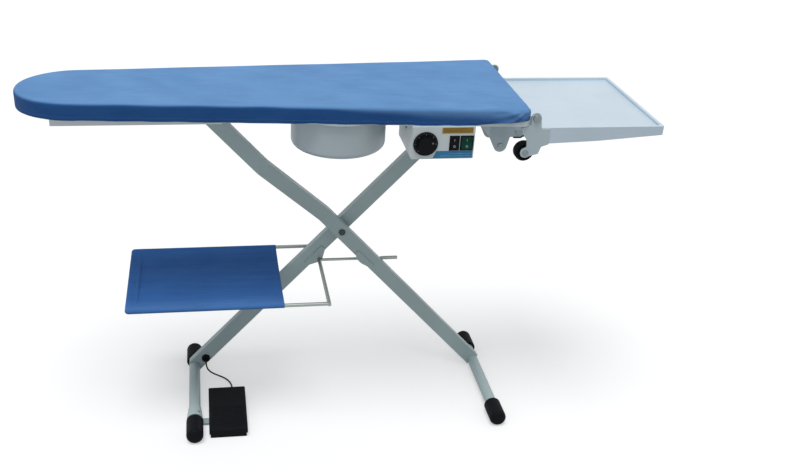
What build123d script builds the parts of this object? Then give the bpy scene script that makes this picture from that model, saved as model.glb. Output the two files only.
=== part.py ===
from build123d import *

import os
from math import cos, pi, radians, sin, tan

# Vacuum ironing table, open for use. Millimetres, X from the nose of the board to its tail,
# Y away from the side with the controls, Z up from the floor.
# The origin is on the floor under the middle of the table.

os.makedirs("parts", exist_ok=True)

# Board outline and heights
board_length = 1200.0
board_width = 400.0
nose_width = 250.0
nose_length = 146.0
tail_x = 430.0
tail_corner_radius = 16.0
board_top_z = 918.5
board_depth = 42.5
under_z = board_top_z - board_depth
nose_x = tail_x - board_length + nose_length

# Layers of the board, from the steel box up to the cotton
sheet = 1.5
box_height = 28.5
box_inset = 3.0
box_lip = 14.0
plate_thickness = 1.5
pad_thickness = 10.6
cover_wall = 2.4
cover_gap = 0.3
cover_edge_radius = 9.0
plate_z = under_z + box_height
pad_z = plate_z + plate_thickness
cover_inside_z = pad_z + pad_thickness + cover_gap

# Steam holes of the perforated plate
hole_pitch = 58.0
hole_radius = 9.0
hole_border = 34.0

# Heating element, one tube bent to and fro below the plate
element_radius = 3.5
element_row = 35.0
element_bend = 34.0
element_tail_x = 390.0
element_turn_x = 320.0
element_nose_x = -520.0

# General clearances
slip = 0.1
running = 0.05
side_gap = 0.5
weld_plate = 3.0

# Fan housing, motor and impeller under the box
fan_x = -8.6
fan_y = -50.2
drum_radius = 115.9
drum_bottom_z = 784.9
drum_wall = 2.0
drum_edge_radius = 13.0
drum_flange = 9.0
inlet_radius = 62.0
exhaust_slots = 16
exhaust_length = 40.0
exhaust_width = 6.0
exhaust_ring = 74.0
motor_radius = 41.0
motor_height = 48.0
motor_chamfer = 4.0
motor_boss_radius = 12.0
motor_boss_height = 5.0
shaft_radius = 4.0
shaft_depth = 24.0
shaft_end_gap = 1.0
impeller_radius = 88.0
impeller_eye = 52.0
impeller_gap = 3.0
impeller_disc = 1.6
blade_count = 12
blade_height = 20.0
blade_thickness = 1.6
blade_bow = 13.0
blade_eye_gap = 12.0
blade_tip_gap = 3.0
blade_sweep = 12.0
hub_radius = 15.0
hub_height = 16.0

# Control box and what is on its front panel
case_x = 147.0
case_width = 150.0
case_height = 80.0
case_recess = 0.536
case_back_y = -33.0
panel_thickness = 2.0
panel_corner = 2.0
case_bottom_z = under_z - case_height
dial_x = 179.0
dial_z = 835.0
dial_radius = 29.5
dial_skirt = 4.0
dial_gap = 0.4
dial_chamfer = 1.2
grip_radius = 21.0
grip_depth = 12.0
grip_taper = 4.0
grip_flutes = 12
flute_radius = 2.6
spindle_radius = 3.0
spindle_length = 14.0
spindle_end_gap = 1.0
thermostat_radius = 19.0
thermostat_depth = 26.0
thermostat_chamfer = 3.0
rocker_height = 34.0
black_rocker_x = 248.5
black_rocker_width = 21.0
green_rocker_x = 278.5
green_rocker_width = 29.0
rocker_z = 835.5
bezel_border = 1.5
bezel_depth = 1.5
rocker_wall = 1.0
rocker_tilt = 8.0
rocker_pivot_depth = 1.0
rocker_valley = 2.6
rocker_back = 4.0
rocker_end_gap = 0.5
rocker_body_depth = 25.0
rocker_pin_radius = 1.2
gland_x = 262.0
gland_z = 826.0
gland_radius = 8.0
gland_bore = 3.5
gland_length = 14.0
gland_nut_edge = 3.0
gland_nut_depth = 5.0
gland_chamfer = 2.0

# Scissor legs: rectangular tube, folding down to a small angle
leg_depth = 40.0
leg_width = 20.0
leg_wall = 1.5
leg_head_flat = 0.5
open_angle = 47.15
folded_angle = 3.75
leg_lower = 607.0
pivot_drop = 25.0
pivot_x = 387.0
pivot_radius = 6.0
leg_gap = 17.0
tail_leg_y = 90.0
nose_leg_y = tail_leg_y + leg_width + leg_gap
slider_leg_y = -12.0
jog_start = 74.0
jog_end = 327.0
jog_bend = 30.0

# Foot bars and their rubber caps
bar_radius = 15.5
bar_wall = 2.0
bar_half = 200.0
cap_radius = 22.6
cap_flat = 0.5
cap_inner_y = nose_leg_y + leg_width / 2
cap_outer_y = 212.0
cap_front_round = 5.0
cap_end_round = 13.0

# Crossing, places of the two leg axes that follow from the sizes above
cosine = cos(radians(open_angle))
sine = sin(radians(open_angle))
foot_z = cap_radius - cap_flat
pivot_z = under_z - pivot_drop
leg_upper = (pivot_z - foot_z) / sine - leg_lower
cross_x = pivot_x - leg_upper * cosine
cross_z = pivot_z - leg_upper * sine
slider_x = cross_x - leg_upper * cosine
nose_foot_x = cross_x - leg_lower * cosine
tail_foot_x = cross_x + leg_lower * cosine
folded_bar_x = pivot_x + (leg_lower - leg_upper) * cos(radians(folded_angle))
folded_bar_z = pivot_z - (leg_lower + leg_upper) * sin(radians(folded_angle))

# Bracket of the nose leg under the tail
bracket_length = 66.0
bracket_flange = 13.0
bracket_nose = 14.0
bolt_head = 3.0
bolt_round = 1.5
nut_edge = 1.0

# Slide rail, slider block and clamp knob of the tail leg
rail_wall = 2.5
rail_nose_x = -690.0
rail_tail_x = -290.0
rail_height = 42.5
rail_y = -43.0
rail_depth = 18.5
block_length = 50.0
block_depth = 14.0
block_gap = 0.3
block_corner = 3.0
pin_end_gap = 1.0
knob_radius = 18.0
knob_depth = 13.0
knob_lobes = 6
knob_lobe_radius = 5.0

# Linen shelf and its stay bar
rod_radius = 5.0
shelf_pin_down = 112.0
shelf_pin_out = leg_depth / 2 + rod_radius + 1.0
shelf_nose_x = -538.0
shelf_near_y = -127.0
shelf_far_y = 192.0
shelf_corner = 14.0
gusset_nose = 4.0
gusset_root_length = 68.0
gusset_root_height = 14.0
fabric_tail_x = -142.0
fabric_thickness = 1.6
fabric_gap = 0.2
stay_radius = 4.0
stay_y = tail_leg_y + (leg_width + leg_gap) / 2
stay_end_x = 196.0
sleeve_radius = 5.0
sleeve_length = 46.0
sleeve_end = 2.0
stop_gap = 0.3
stop_radius = 4.5
stay_cheek_root = 4.0
stay_cheek_shoulder = 16.0
stay_cheek_crest = 25.0
stay_cheek_ends = (75.0, 142.0)
stay_cheek_crest_ends = (92.0, 110.0)
shelf_x = cross_x - shelf_pin_down * cosine + shelf_pin_out * sine
shelf_z = cross_z - shelf_pin_down * sine - shelf_pin_out * cosine
stop_x = 2 * cross_x - shelf_x
stop_z = shelf_z + stay_radius + stop_radius + stop_gap

# Tail bracket that holds the folded foot bar
cradle_x = 378.0
cradle_half = 50.0
cradle_web_z = 790.0
cradle_lobe_x = 407.5
cradle_lobe_z = 769.0
cradle_lobe_radius = 17.0
cradle_arm_z = 792.0
cradle_arm_top_z = 822.0
cradle_arm_x = 488.0
cradle_flange = 15.0
cradle_root_length = 52.0
cradle_root_height = 12.0
cradle_arm_chamfer = 12.0
cradle_tail_gap = 4.0
tie_radius = 4.0
tie_high_x = 450.0
tie_high_z = 806.0
tie_head_edge = 2.5
rest_gap = 1.0
rest_thickness = 3.0
rest_width = 6.0
rest_start_x = 440.0

# Tray, its ears, lugs and wheels
tray_inner_x = 458.0
tray_outer_x = 770.0
tray_half = 187.0
tray_rim_z = 869.0
tray_sheet = 1.5
tray_rim = 8.0
tray_dish = 6.5
tray_hinge_depth = 41.0
tray_middle_x = 605.0
tray_middle_depth = 35.0
tray_end_depth = 22.0
tray_corner = 5.0
hinge_x = 443.5
hinge_z = 894.5
hinge_radius = 5.0
hinge_head = 9.5
hinge_head_depth = 5.0
hinge_nut_depth = 5.0
hinge_round = 2.0
lug_gap = 0.8
lug_radius = 12.0
lug_nose_x = 396.0
lug_flange = 26.0
lug_tail = 6.0
lug_neck_drop = 2.0
lug_neck_inset = 0.2
ear_thickness = 3.0
ear_corner = 5.0
wheel_x = 425.5
wheel_z = 807.0
wheel_radius = 24.0
wheel_width = 20.0
wheel_ear_gap = 3.0
wheel_hub = 11.0
wheel_rim = 5.0
wheel_dish = 4.0
wheel_dish_slope = 2.0
tread_round = 4.0
axle_radius = 4.0
axle_lobe = 12.5
axle_collar = 7.0
axle_round = 1.2
axle_clip = 3.0

# Foot pedal beside the nose foot bar
collar_start_y = -85.0
collar_cone_y = -131.0
collar_end_y = -135.5
collar_small_radius = 17.0
collar_large_radius = 21.6
strap_width = 23.0
strap_z = 4.0
strap_thickness = 5.0
strap_margin = 3.0
strap_notch = 8.0
pedal_nose_x = -344.0
pedal_width = 102.0
pedal_near_y = -190.0
pedal_far_y = -0.5
pedal_height = 28.0
pedal_wall = 2.0
pedal_skirt_z = 12.5
pedal_edge = 3.0
base_inset = 3.0
base_height = 11.0
pedal_hinge_y = -9.0
pedal_hinge_z = 7.5
pedal_pin_radius = 2.5
pedal_lug_radius = 5.0
pedal_lug_root = 2.0
spring_radius = 7.0
spring_wire = 0.9
spring_turns = 4
spring_x = -293.0
spring_y = -150.0
switch_x = -297.5
switch_y = -90.0
switch_length = 28.0
switch_width = 16.0
switch_height = 12.0
plunger_off = 8.0
plunger_radius = 2.0
plunger_height = 4.0
grommet_up = 42.5
grommet_off = 5.0
grommet_radius = 11.5
grommet_depth = 8.0
grommet_round = 3.0
cord_radius = 2.2
cord_straight = 12.5
pedal_gland_x = -277.5
pedal_gland_z = 7.5
pedal_gland_radius = 3.6
pedal_gland_length = 7.0
pedal_gland_taper = 4.0
pedal_gland_tip = 0.6
pedal_gland_neck = 1.0


def half_width(x):
    """Half width of the straight flank of the board at x."""
    share = (x - nose_x) / (tail_x - nose_x)
    return (nose_width + (board_width - nose_width) * share) / 2


def board_outline(inset):
    """Plan of the board, moved inwards by inset."""
    with BuildSketch() as plan:
        with BuildLine():
            nose = EllipticalCenterArc(
                (nose_x, 0),
                nose_length - inset,
                nose_width / 2 - inset,
                start_angle=90,
                arc_size=180,
            )
            far = Line(nose @ 0, (tail_x - inset, board_width / 2 - inset))
            near = Line(nose @ 1, (tail_x - inset, inset - board_width / 2))
            Line(far @ 1, near @ 1)
        make_face()
        fillet(plan.vertices().group_by(Axis.X)[-1], max(tail_corner_radius - inset, 1.0))
    return plan.sketch


def at_y(y):
    """Upright plane at y that faces the side with the controls."""
    return Plane.XZ.offset(-y)


def nose_leg_plane(y):
    """Plane at y with its x axis up along the nose leg, from the crossing."""
    return Plane(origin=(cross_x, y, cross_z), x_dir=(cosine, 0, sine), z_dir=(0, -1, 0))


def tail_leg_plane(y):
    """Plane at y with its x axis up along the tail leg, from the crossing."""
    return Plane(origin=(cross_x, y, cross_z), x_dir=(-cosine, 0, sine), z_dir=(0, -1, 0))


# Vacuum box: a shallow pan with an inward lip, open over the fan
with BuildPart() as vacuum_box:
    with BuildSketch(Plane.XY.offset(under_z)):
        add(board_outline(box_inset))
    extrude(amount=box_height)
    with BuildSketch(Plane.XY.offset(under_z + sheet)):
        add(board_outline(box_inset + sheet))
    extrude(amount=box_height, mode=Mode.SUBTRACT)
    with BuildSketch(Plane.XY.offset(plate_z - sheet)):
        add(board_outline(box_inset + sheet / 2))
        add(board_outline(box_inset + box_lip), mode=Mode.SUBTRACT)
    extrude(amount=sheet)
    with BuildSketch(Plane.XY.offset(under_z)):
        with Locations((fan_x, fan_y)):
            Circle(inlet_radius)
    extrude(amount=sheet, mode=Mode.SUBTRACT)
vacuum_box.part.label = "vacuum_box"
export_step(vacuum_box.part, "parts/vacuum_box.step")

# Perforated plate: rows of six-sided steam holes that follow the taper of the board
hole_places = []
hole_columns = int((tail_x - nose_x - 2 * hole_border) / hole_pitch) + 1
for column in range(hole_columns):
    hole_x = tail_x - hole_border - hole_radius - column * hole_pitch
    rows = int((half_width(hole_x) - hole_border) / hole_pitch)
    for row in range(-rows, rows + 1):
        hole_places.append((hole_x, row * hole_pitch))

with BuildPart() as perforated_plate:
    with BuildSketch(Plane.XY.offset(plate_z)):
        add(board_outline(box_inset))
        with Locations(*hole_places):
            RegularPolygon(hole_radius, 6, mode=Mode.SUBTRACT)
    extrude(amount=plate_thickness)
perforated_plate.part.label = "perforated_plate"
export_step(perforated_plate.part, "parts/perforated_plate.step")

# Heating element: a tube in four long rows against the underside of the plate
element_z = plate_z - element_radius
with BuildPart() as heating_element:
    with BuildLine() as element_path:
        FilletPolyline(
            (element_tail_x, -3 * element_row, element_z),
            (element_nose_x, -3 * element_row, element_z),
            (element_nose_x, -element_row, element_z),
            (element_turn_x, -element_row, element_z),
            (element_turn_x, element_row, element_z),
            (element_nose_x, element_row, element_z),
            (element_nose_x, 3 * element_row, element_z),
            (element_tail_x, 3 * element_row, element_z),
            radius=element_bend,
        )
    with BuildSketch(Plane(origin=element_path.line @ 0, z_dir=element_path.line % 0)):
        Circle(element_radius)
    sweep()
heating_element.part.label = "heating_element"
export_step(heating_element.part, "parts/heating_element.step")

# Felt pad with a rounded upper edge
with BuildPart() as felt_pad:
    with BuildSketch(Plane.XY.offset(pad_z)):
        add(board_outline(box_inset))
    extrude(amount=pad_thickness)
    fillet(felt_pad.edges().group_by(Axis.Z)[-1], cover_edge_radius - sheet)
felt_pad.part.label = "felt_pad"
export_step(felt_pad.part, "parts/felt_pad.step")

# Cotton cover: a cap over the pad that reaches down to the underside of the box
with BuildPart() as cover_core:
    with BuildSketch(Plane.XY.offset(under_z - sheet)):
        add(board_outline(cover_wall))
    extrude(amount=cover_inside_z - under_z + sheet)
    fillet(cover_core.edges().group_by(Axis.Z)[-1], cover_edge_radius - cover_wall)

with BuildPart() as cotton_cover:
    with BuildSketch(Plane.XY.offset(under_z)):
        add(board_outline(0))
    extrude(amount=board_depth)
    fillet(cotton_cover.edges().group_by(Axis.Z)[-1], cover_edge_radius)
    add(cover_core.part, mode=Mode.SUBTRACT)
cotton_cover.part.label = "cotton_cover"
export_step(cotton_cover.part, "parts/cotton_cover.step")

# Fan housing: a drum with a rolled lower edge, a flange on top and exhaust slots in its floor
with BuildPart() as fan_housing:
    with BuildSketch(Plane.XY.offset(drum_bottom_z)):
        with Locations((fan_x, fan_y)):
            Circle(drum_radius)
    extrude(amount=under_z - drum_bottom_z)
    fillet(fan_housing.edges().group_by(Axis.Z)[0], drum_edge_radius)
    offset(amount=-drum_wall, openings=fan_housing.faces().sort_by(Axis.Z)[-1])
    with BuildSketch(Plane.XY.offset(under_z - drum_wall)):
        with Locations((fan_x, fan_y)):
            Circle(drum_radius + drum_flange)
            Circle(drum_radius - drum_wall / 2, mode=Mode.SUBTRACT)
    extrude(amount=drum_wall)
    with BuildSketch(Plane.XY.offset(drum_bottom_z)):
        with Locations((fan_x, fan_y)):
            with PolarLocations(exhaust_ring, exhaust_slots):
                SlotOverall(exhaust_length, exhaust_width)
    extrude(amount=drum_wall, mode=Mode.SUBTRACT)
fan_housing.part.label = "fan_housing"
export_step(fan_housing.part, "parts/fan_housing.step")

# Fan motor: stands on the floor of the drum, with a bearing boss and a bore for the shaft
motor_z = drum_bottom_z + drum_wall
motor_top_z = motor_z + motor_height + motor_boss_height
with BuildPart() as fan_motor:
    with BuildSketch(Plane.XY.offset(motor_z)):
        with Locations((fan_x, fan_y)):
            Circle(motor_radius)
    extrude(amount=motor_height)
    chamfer(fan_motor.edges().group_by(Axis.Z)[-1], motor_chamfer)
    with BuildSketch(Plane.XY.offset(motor_z + motor_height)):
        with Locations((fan_x, fan_y)):
            Circle(motor_boss_radius)
    extrude(amount=motor_boss_height)
    with BuildSketch(Plane.XY.offset(motor_top_z)):
        with Locations((fan_x, fan_y)):
            Circle(shaft_radius + running)
    extrude(amount=-shaft_depth - shaft_end_gap, mode=Mode.SUBTRACT)
fan_motor.part.label = "fan_motor"
export_step(fan_motor.part, "parts/fan_motor.step")

# Motor shaft, carried by the motor and holding the impeller
impeller_z = motor_top_z + impeller_gap
with BuildPart() as motor_shaft:
    with BuildSketch(Plane.XY.offset(motor_top_z - shaft_depth)):
        with Locations((fan_x, fan_y)):
            Circle(shaft_radius)
    extrude(amount=shaft_depth + impeller_gap + hub_height)
motor_shaft.part.label = "motor_shaft"
export_step(motor_shaft.part, "parts/motor_shaft.step")

# Fan impeller: back disc, hub, curved blades and a front ring
blade_root = (hub_radius + blade_eye_gap, 0)
blade_tip = (impeller_radius - blade_tip_gap, blade_sweep)
with BuildSketch() as blade_profile:
    with BuildLine():
        SagittaArc(blade_root, blade_tip, blade_bow)
    trace(line_width=blade_thickness)

with BuildPart() as fan_impeller:
    with BuildSketch(Plane.XY.offset(impeller_z)):
        with Locations((fan_x, fan_y)):
            Circle(impeller_radius)
    extrude(amount=impeller_disc)
    with BuildSketch(Plane.XY.offset(impeller_z)):
        with Locations((fan_x, fan_y)):
            Circle(hub_radius)
    extrude(amount=hub_height)
    with BuildSketch(Plane.XY.offset(impeller_z + impeller_disc)):
        with Locations((fan_x, fan_y)):
            with PolarLocations(0, blade_count):
                add(blade_profile.sketch)
    extrude(amount=blade_height)
    with BuildSketch(Plane.XY.offset(impeller_z + impeller_disc + blade_height)):
        with Locations((fan_x, fan_y)):
            Circle(impeller_radius)
            Circle(impeller_eye, mode=Mode.SUBTRACT)
    extrude(amount=impeller_disc)
    with BuildSketch(Plane.XY.offset(impeller_z)):
        with Locations((fan_x, fan_y)):
            Circle(shaft_radius + slip / 2)
    extrude(amount=hub_height, mode=Mode.SUBTRACT)
fan_impeller.part.label = "fan_impeller"
export_step(fan_impeller.part, "parts/fan_impeller.step")

# Control box: folded sheet, closed all round but for the front
case_centre_x = case_x + case_width / 2
case_front_y = case_recess - half_width(case_x + case_width)
case_centre_z = case_bottom_z + case_height / 2
panel_back_y = case_front_y + panel_thickness
with BuildPart() as control_box:
    with BuildSketch(at_y(case_back_y)):
        with Locations((case_centre_x, case_centre_z)):
            Rectangle(case_width, case_height)
    extrude(amount=case_back_y - panel_back_y)
    with BuildSketch(at_y(case_back_y - sheet)):
        with Locations((case_centre_x, case_centre_z)):
            Rectangle(case_width - 2 * sheet, case_height - 2 * sheet)
    extrude(amount=case_back_y - sheet - panel_back_y, mode=Mode.SUBTRACT)
    with BuildSketch(at_y(case_back_y)):
        with Locations((gland_x, gland_z)):
            Circle(gland_radius + slip)
    extrude(amount=sheet, mode=Mode.SUBTRACT)
control_box.part.label = "control_box"
export_step(control_box.part, "parts/control_box.step")

# Front panel with openings for the spindle and the two rocker switches
rockers = [(black_rocker_x, black_rocker_width), (green_rocker_x, green_rocker_width)]
with BuildPart() as control_panel:
    with BuildSketch(at_y(panel_back_y)):
        with Locations((case_centre_x, case_centre_z)):
            RectangleRounded(case_width, case_height, panel_corner)
        with Locations((dial_x, dial_z)):
            Circle(spindle_radius + side_gap, mode=Mode.SUBTRACT)
        for rocker_x, rocker_width in rockers:
            with Locations((rocker_x, rocker_z)):
                Rectangle(rocker_width + slip, rocker_height + slip, mode=Mode.SUBTRACT)
    extrude(amount=panel_thickness)
control_panel.part.label = "control_panel"
export_step(control_panel.part, "parts/control_panel.step")

# Thermostat behind the panel, with the bore that guides the spindle
with BuildPart() as thermostat_body:
    with BuildSketch(at_y(panel_back_y)):
        with Locations((dial_x, dial_z)):
            Circle(thermostat_radius)
    extrude(amount=-thermostat_depth)
    chamfer(thermostat_body.edges().group_by(Axis.Y)[-1], thermostat_chamfer)
    with BuildSketch(at_y(panel_back_y)):
        with Locations((dial_x, dial_z)):
            Circle(spindle_radius + running)
    extrude(amount=-spindle_length, mode=Mode.SUBTRACT)
thermostat_body.part.label = "thermostat_body"
export_step(thermostat_body.part, "parts/thermostat_body.step")

# Thermostat knob: flat skirt for the numbers, fluted grip and spindle
skirt_back_y = case_front_y - dial_gap
grip_back_y = skirt_back_y - dial_skirt
with BuildPart() as thermostat_knob:
    with BuildSketch(at_y(skirt_back_y)):
        with Locations((dial_x, dial_z)):
            Circle(dial_radius)
    extrude(amount=dial_skirt)
    chamfer(thermostat_knob.edges().group_by(Axis.Y)[0], dial_chamfer)
    with BuildSketch(at_y(grip_back_y)):
        with Locations((dial_x, dial_z)):
            Circle(grip_radius)
            with PolarLocations(grip_radius + flute_radius / 2, grip_flutes):
                Circle(flute_radius, mode=Mode.SUBTRACT)
    extrude(amount=grip_depth, taper=grip_taper)
    with BuildSketch(at_y(skirt_back_y)):
        with Locations((dial_x, dial_z)):
            Circle(spindle_radius)
    extrude(amount=skirt_back_y - panel_back_y - spindle_length + spindle_end_gap)
thermostat_knob.part.label = "thermostat_knob"
export_step(thermostat_knob.part, "parts/thermostat_knob.step")

# Rocker switch housings: bezel in front of the panel, body behind it
bezel_front_y = case_front_y - bezel_depth
with BuildPart() as switch_housings:
    for rocker_x, rocker_width in rockers:
        inner_width = rocker_width - 2 * rocker_wall
        inner_height = rocker_height - 2 * rocker_wall
        with BuildSketch(at_y(case_front_y)):
            with Locations((rocker_x, rocker_z)):
                Rectangle(rocker_width + 2 * bezel_border, rocker_height + 2 * bezel_border)
        extrude(amount=bezel_depth)
        with BuildSketch(at_y(case_front_y)):
            with Locations((rocker_x, rocker_z)):
                Rectangle(rocker_width, rocker_height)
        extrude(amount=-rocker_body_depth)
        with BuildSketch(at_y(bezel_front_y)):
            with Locations((rocker_x, rocker_z)):
                Rectangle(inner_width, inner_height)
        extrude(amount=-rocker_body_depth / 2, mode=Mode.SUBTRACT)
        with BuildSketch(Plane.YZ.offset(rocker_x - rocker_width / 2)):
            with Locations((case_front_y + rocker_pivot_depth, rocker_z)):
                Circle(rocker_pin_radius + running)
        extrude(amount=rocker_width, mode=Mode.SUBTRACT)
switch_housings.part.label = "switch_housings"
export_step(switch_housings.part, "parts/switch_housings.step")


def rocker(centre_x, width):
    """Rocker paddle with a shallow valley, tilted about its pins at rest."""
    paddle_width = width - 2 * rocker_wall - 2 * side_gap
    reach = rocker_height / 2 - rocker_wall - side_gap
    pivot = Plane(
        origin=(centre_x, case_front_y + rocker_pivot_depth, rocker_z),
        x_dir=(0, sin(radians(rocker_tilt)), cos(radians(rocker_tilt))),
        z_dir=(1, 0, 0),
    )
    crown = reach * tan(radians(rocker_tilt))
    end = reach - rocker_end_gap
    with BuildPart() as paddle:
        with BuildSketch(pivot):
            with BuildLine():
                Polyline(
                    (-end, -rocker_back),
                    (end, -rocker_back),
                    (end, rocker_valley + crown),
                    (0, rocker_valley),
                    (-end, rocker_valley + crown),
                    close=True,
                )
            make_face()
        extrude(amount=paddle_width / 2, both=True)
        with BuildSketch(pivot):
            Circle(rocker_pin_radius)
        extrude(amount=width / 2 - rocker_wall / 4, both=True)
    return paddle.part


with BuildPart() as black_rocker:
    add(rocker(black_rocker_x, black_rocker_width))
black_rocker.part.label = "black_rocker"
export_step(black_rocker.part, "parts/black_rocker.step")

with BuildPart() as green_rocker:
    add(rocker(green_rocker_x, green_rocker_width))
green_rocker.part.label = "green_rocker"
export_step(green_rocker.part, "parts/green_rocker.step")

# Mains inlet gland in the back of the control box
with BuildPart() as mains_gland:
    with BuildSketch(at_y(case_back_y + gland_length)):
        with Locations((gland_x, gland_z)):
            Circle(gland_radius)
    extrude(amount=gland_length + 2 * sheet)
    with BuildSketch(at_y(case_back_y + gland_nut_depth)):
        with Locations((gland_x, gland_z)):
            RegularPolygon(gland_radius + gland_nut_edge, 6)
    extrude(amount=gland_nut_depth)
    chamfer(mains_gland.edges().group_by(Axis.Y)[-1], gland_chamfer)
    with BuildSketch(at_y(case_back_y + gland_length)):
        with Locations((gland_x, gland_z)):
            Circle(gland_bore)
    extrude(amount=gland_length + 2 * sheet, mode=Mode.SUBTRACT)
mains_gland.part.label = "mains_gland"
export_step(mains_gland.part, "parts/mains_gland.step")

# Bracket under the tail with two cheeks for the nose leg
cheek_gap_y = leg_width / 2 + side_gap
cheek_outer_y = cheek_gap_y + weld_plate
with BuildPart() as leg_bracket:
    with BuildSketch(Plane.XY.offset(under_z - weld_plate)):
        with Locations((pivot_x, nose_leg_y)):
            Rectangle(bracket_length, 2 * (cheek_outer_y + bracket_flange))
    extrude(amount=weld_plate)
    for cheek_y in (nose_leg_y - cheek_gap_y, nose_leg_y + cheek_outer_y):
        with BuildSketch(at_y(cheek_y)):
            with Locations((pivot_x, pivot_z)):
                Circle(bracket_nose)
            with Locations((pivot_x, under_z - 1.5 * weld_plate)):
                Rectangle(bracket_length, weld_plate)
            make_hull()
        extrude(amount=weld_plate)
    with BuildSketch(at_y(nose_leg_y + cheek_outer_y)):
        with Locations((pivot_x, pivot_z)):
            Circle(pivot_radius + running)
    extrude(amount=2 * cheek_outer_y, mode=Mode.SUBTRACT)
leg_bracket.part.label = "leg_bracket"
export_step(leg_bracket.part, "parts/leg_bracket.step")

# Pin of that bracket, with a round head and a hexagon nut
with BuildPart() as leg_bracket_pin:
    with BuildSketch(at_y(nose_leg_y + cheek_outer_y)):
        with Locations((pivot_x, pivot_z)):
            Circle(pivot_radius)
    extrude(amount=2 * cheek_outer_y)
    with BuildSketch(at_y(nose_leg_y - cheek_outer_y)):
        with Locations((pivot_x, pivot_z)):
            Circle(pivot_radius + bolt_head)
    extrude(amount=bolt_head)
    with BuildSketch(at_y(nose_leg_y + cheek_outer_y + 2 * bolt_head)):
        with Locations((pivot_x, pivot_z)):
            RegularPolygon(pivot_radius + bolt_head + nut_edge, 6)
    extrude(amount=2 * bolt_head)
leg_bracket_pin.part.label = "leg_bracket_pin"
export_step(leg_bracket_pin.part, "parts/leg_bracket_pin.step")

# Slide rail: a channel that lies on its side under the board, with closed ends
rail_middle_x = (rail_nose_x + rail_tail_x) / 2
rail_length = rail_tail_x - rail_nose_x
with BuildPart() as slide_rail:
    with BuildSketch(at_y(rail_y + rail_depth)):
        with Locations((rail_middle_x, under_z - rail_height / 2)):
            Rectangle(rail_length, rail_height)
    extrude(amount=rail_depth)
    with BuildSketch(at_y(rail_y + rail_depth)):
        with Locations((rail_middle_x, under_z - rail_height / 2)):
            Rectangle(rail_length - 2 * rail_wall, rail_height - 2 * rail_wall)
    extrude(amount=rail_depth - rail_wall, mode=Mode.SUBTRACT)
slide_rail.part.label = "slide_rail"
export_step(slide_rail.part, "parts/slide_rail.step")

# Slider block in the rail, bored for the pin of the tail leg
block_front_y = rail_y + rail_wall + block_gap + block_depth
block_height = rail_height - 2 * rail_wall - 2 * block_gap
with BuildPart() as slider_block:
    with BuildSketch(at_y(block_front_y)):
        with Locations((slider_x, under_z - rail_height / 2)):
            RectangleRounded(block_length, block_height, block_corner)
        with Locations((slider_x, pivot_z)):
            Circle(pivot_radius + running, mode=Mode.SUBTRACT)
    extrude(amount=block_depth)
slider_block.part.label = "slider_block"
export_step(slider_block.part, "parts/slider_block.step")

# Pin through the top of the tail leg, running in the block
leg_far_y = slider_leg_y + leg_width / 2
pin_near_y = block_front_y - block_depth + pin_end_gap
with BuildPart() as slider_pin:
    with BuildSketch(at_y(leg_far_y + knob_depth + 2 * side_gap)):
        with Locations((slider_x, pivot_z)):
            Circle(pivot_radius)
    extrude(amount=leg_far_y + knob_depth + 2 * side_gap - pin_near_y)
slider_pin.part.label = "slider_pin"
export_step(slider_pin.part, "parts/slider_pin.step")

# Clamp knob on the far end of that pin, which locks the table at its height
with BuildPart() as clamp_knob:
    with BuildSketch(at_y(leg_far_y + side_gap + knob_depth)):
        with Locations((slider_x, pivot_z)):
            Circle(knob_radius - knob_lobe_radius / 2)
            with PolarLocations(knob_radius - knob_lobe_radius, knob_lobes):
                Circle(knob_lobe_radius)
    extrude(amount=knob_depth)
    with BuildSketch(at_y(leg_far_y + side_gap + knob_depth)):
        with Locations((slider_x, pivot_z)):
            Circle(pivot_radius + running)
    extrude(amount=knob_depth, mode=Mode.SUBTRACT)
clamp_knob.part.label = "clamp_knob"
export_step(clamp_knob.part, "parts/clamp_knob.step")

# Nose leg beam: straight tube with a solid rounded head, saddled onto its foot bar
leg_total = leg_lower + leg_upper
with BuildPart() as nose_leg_beam:
    with BuildSketch(nose_leg_plane(nose_leg_y)) as nose_side:
        with Locations(((leg_upper - leg_lower) / 2 + leg_depth / 4, 0)):
            Rectangle(leg_total + leg_depth / 2, leg_depth)
    extrude(amount=leg_width / 2, both=True)
    fillet(
        nose_leg_beam.edges().filter_by(Axis.Y).group_by(Axis.Z)[-1]
        + nose_leg_beam.edges().filter_by(Axis.Y).group_by(Axis.X)[-1],
        leg_depth / 2 - leg_head_flat,
    )
    with BuildSketch(nose_leg_plane(nose_leg_y)):
        with Locations(((leg_upper - leg_depth - leg_lower) / 2, 0)):
            Rectangle(leg_total - leg_depth, leg_depth - 2 * leg_wall)
    extrude(amount=leg_width / 2 - leg_wall, both=True, mode=Mode.SUBTRACT)
    with BuildSketch(nose_leg_plane(nose_leg_y)):
        with Locations((leg_upper, 0)):
            Circle(pivot_radius + running)
        Circle(pivot_radius + slip)
        with Locations((-leg_lower, 0)):
            Circle(bar_radius + slip)
    extrude(amount=leg_width, both=True, mode=Mode.SUBTRACT)
nose_leg_beam.part.label = "nose_leg_beam"
export_step(nose_leg_beam.part, "parts/nose_leg_beam.step")

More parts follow.
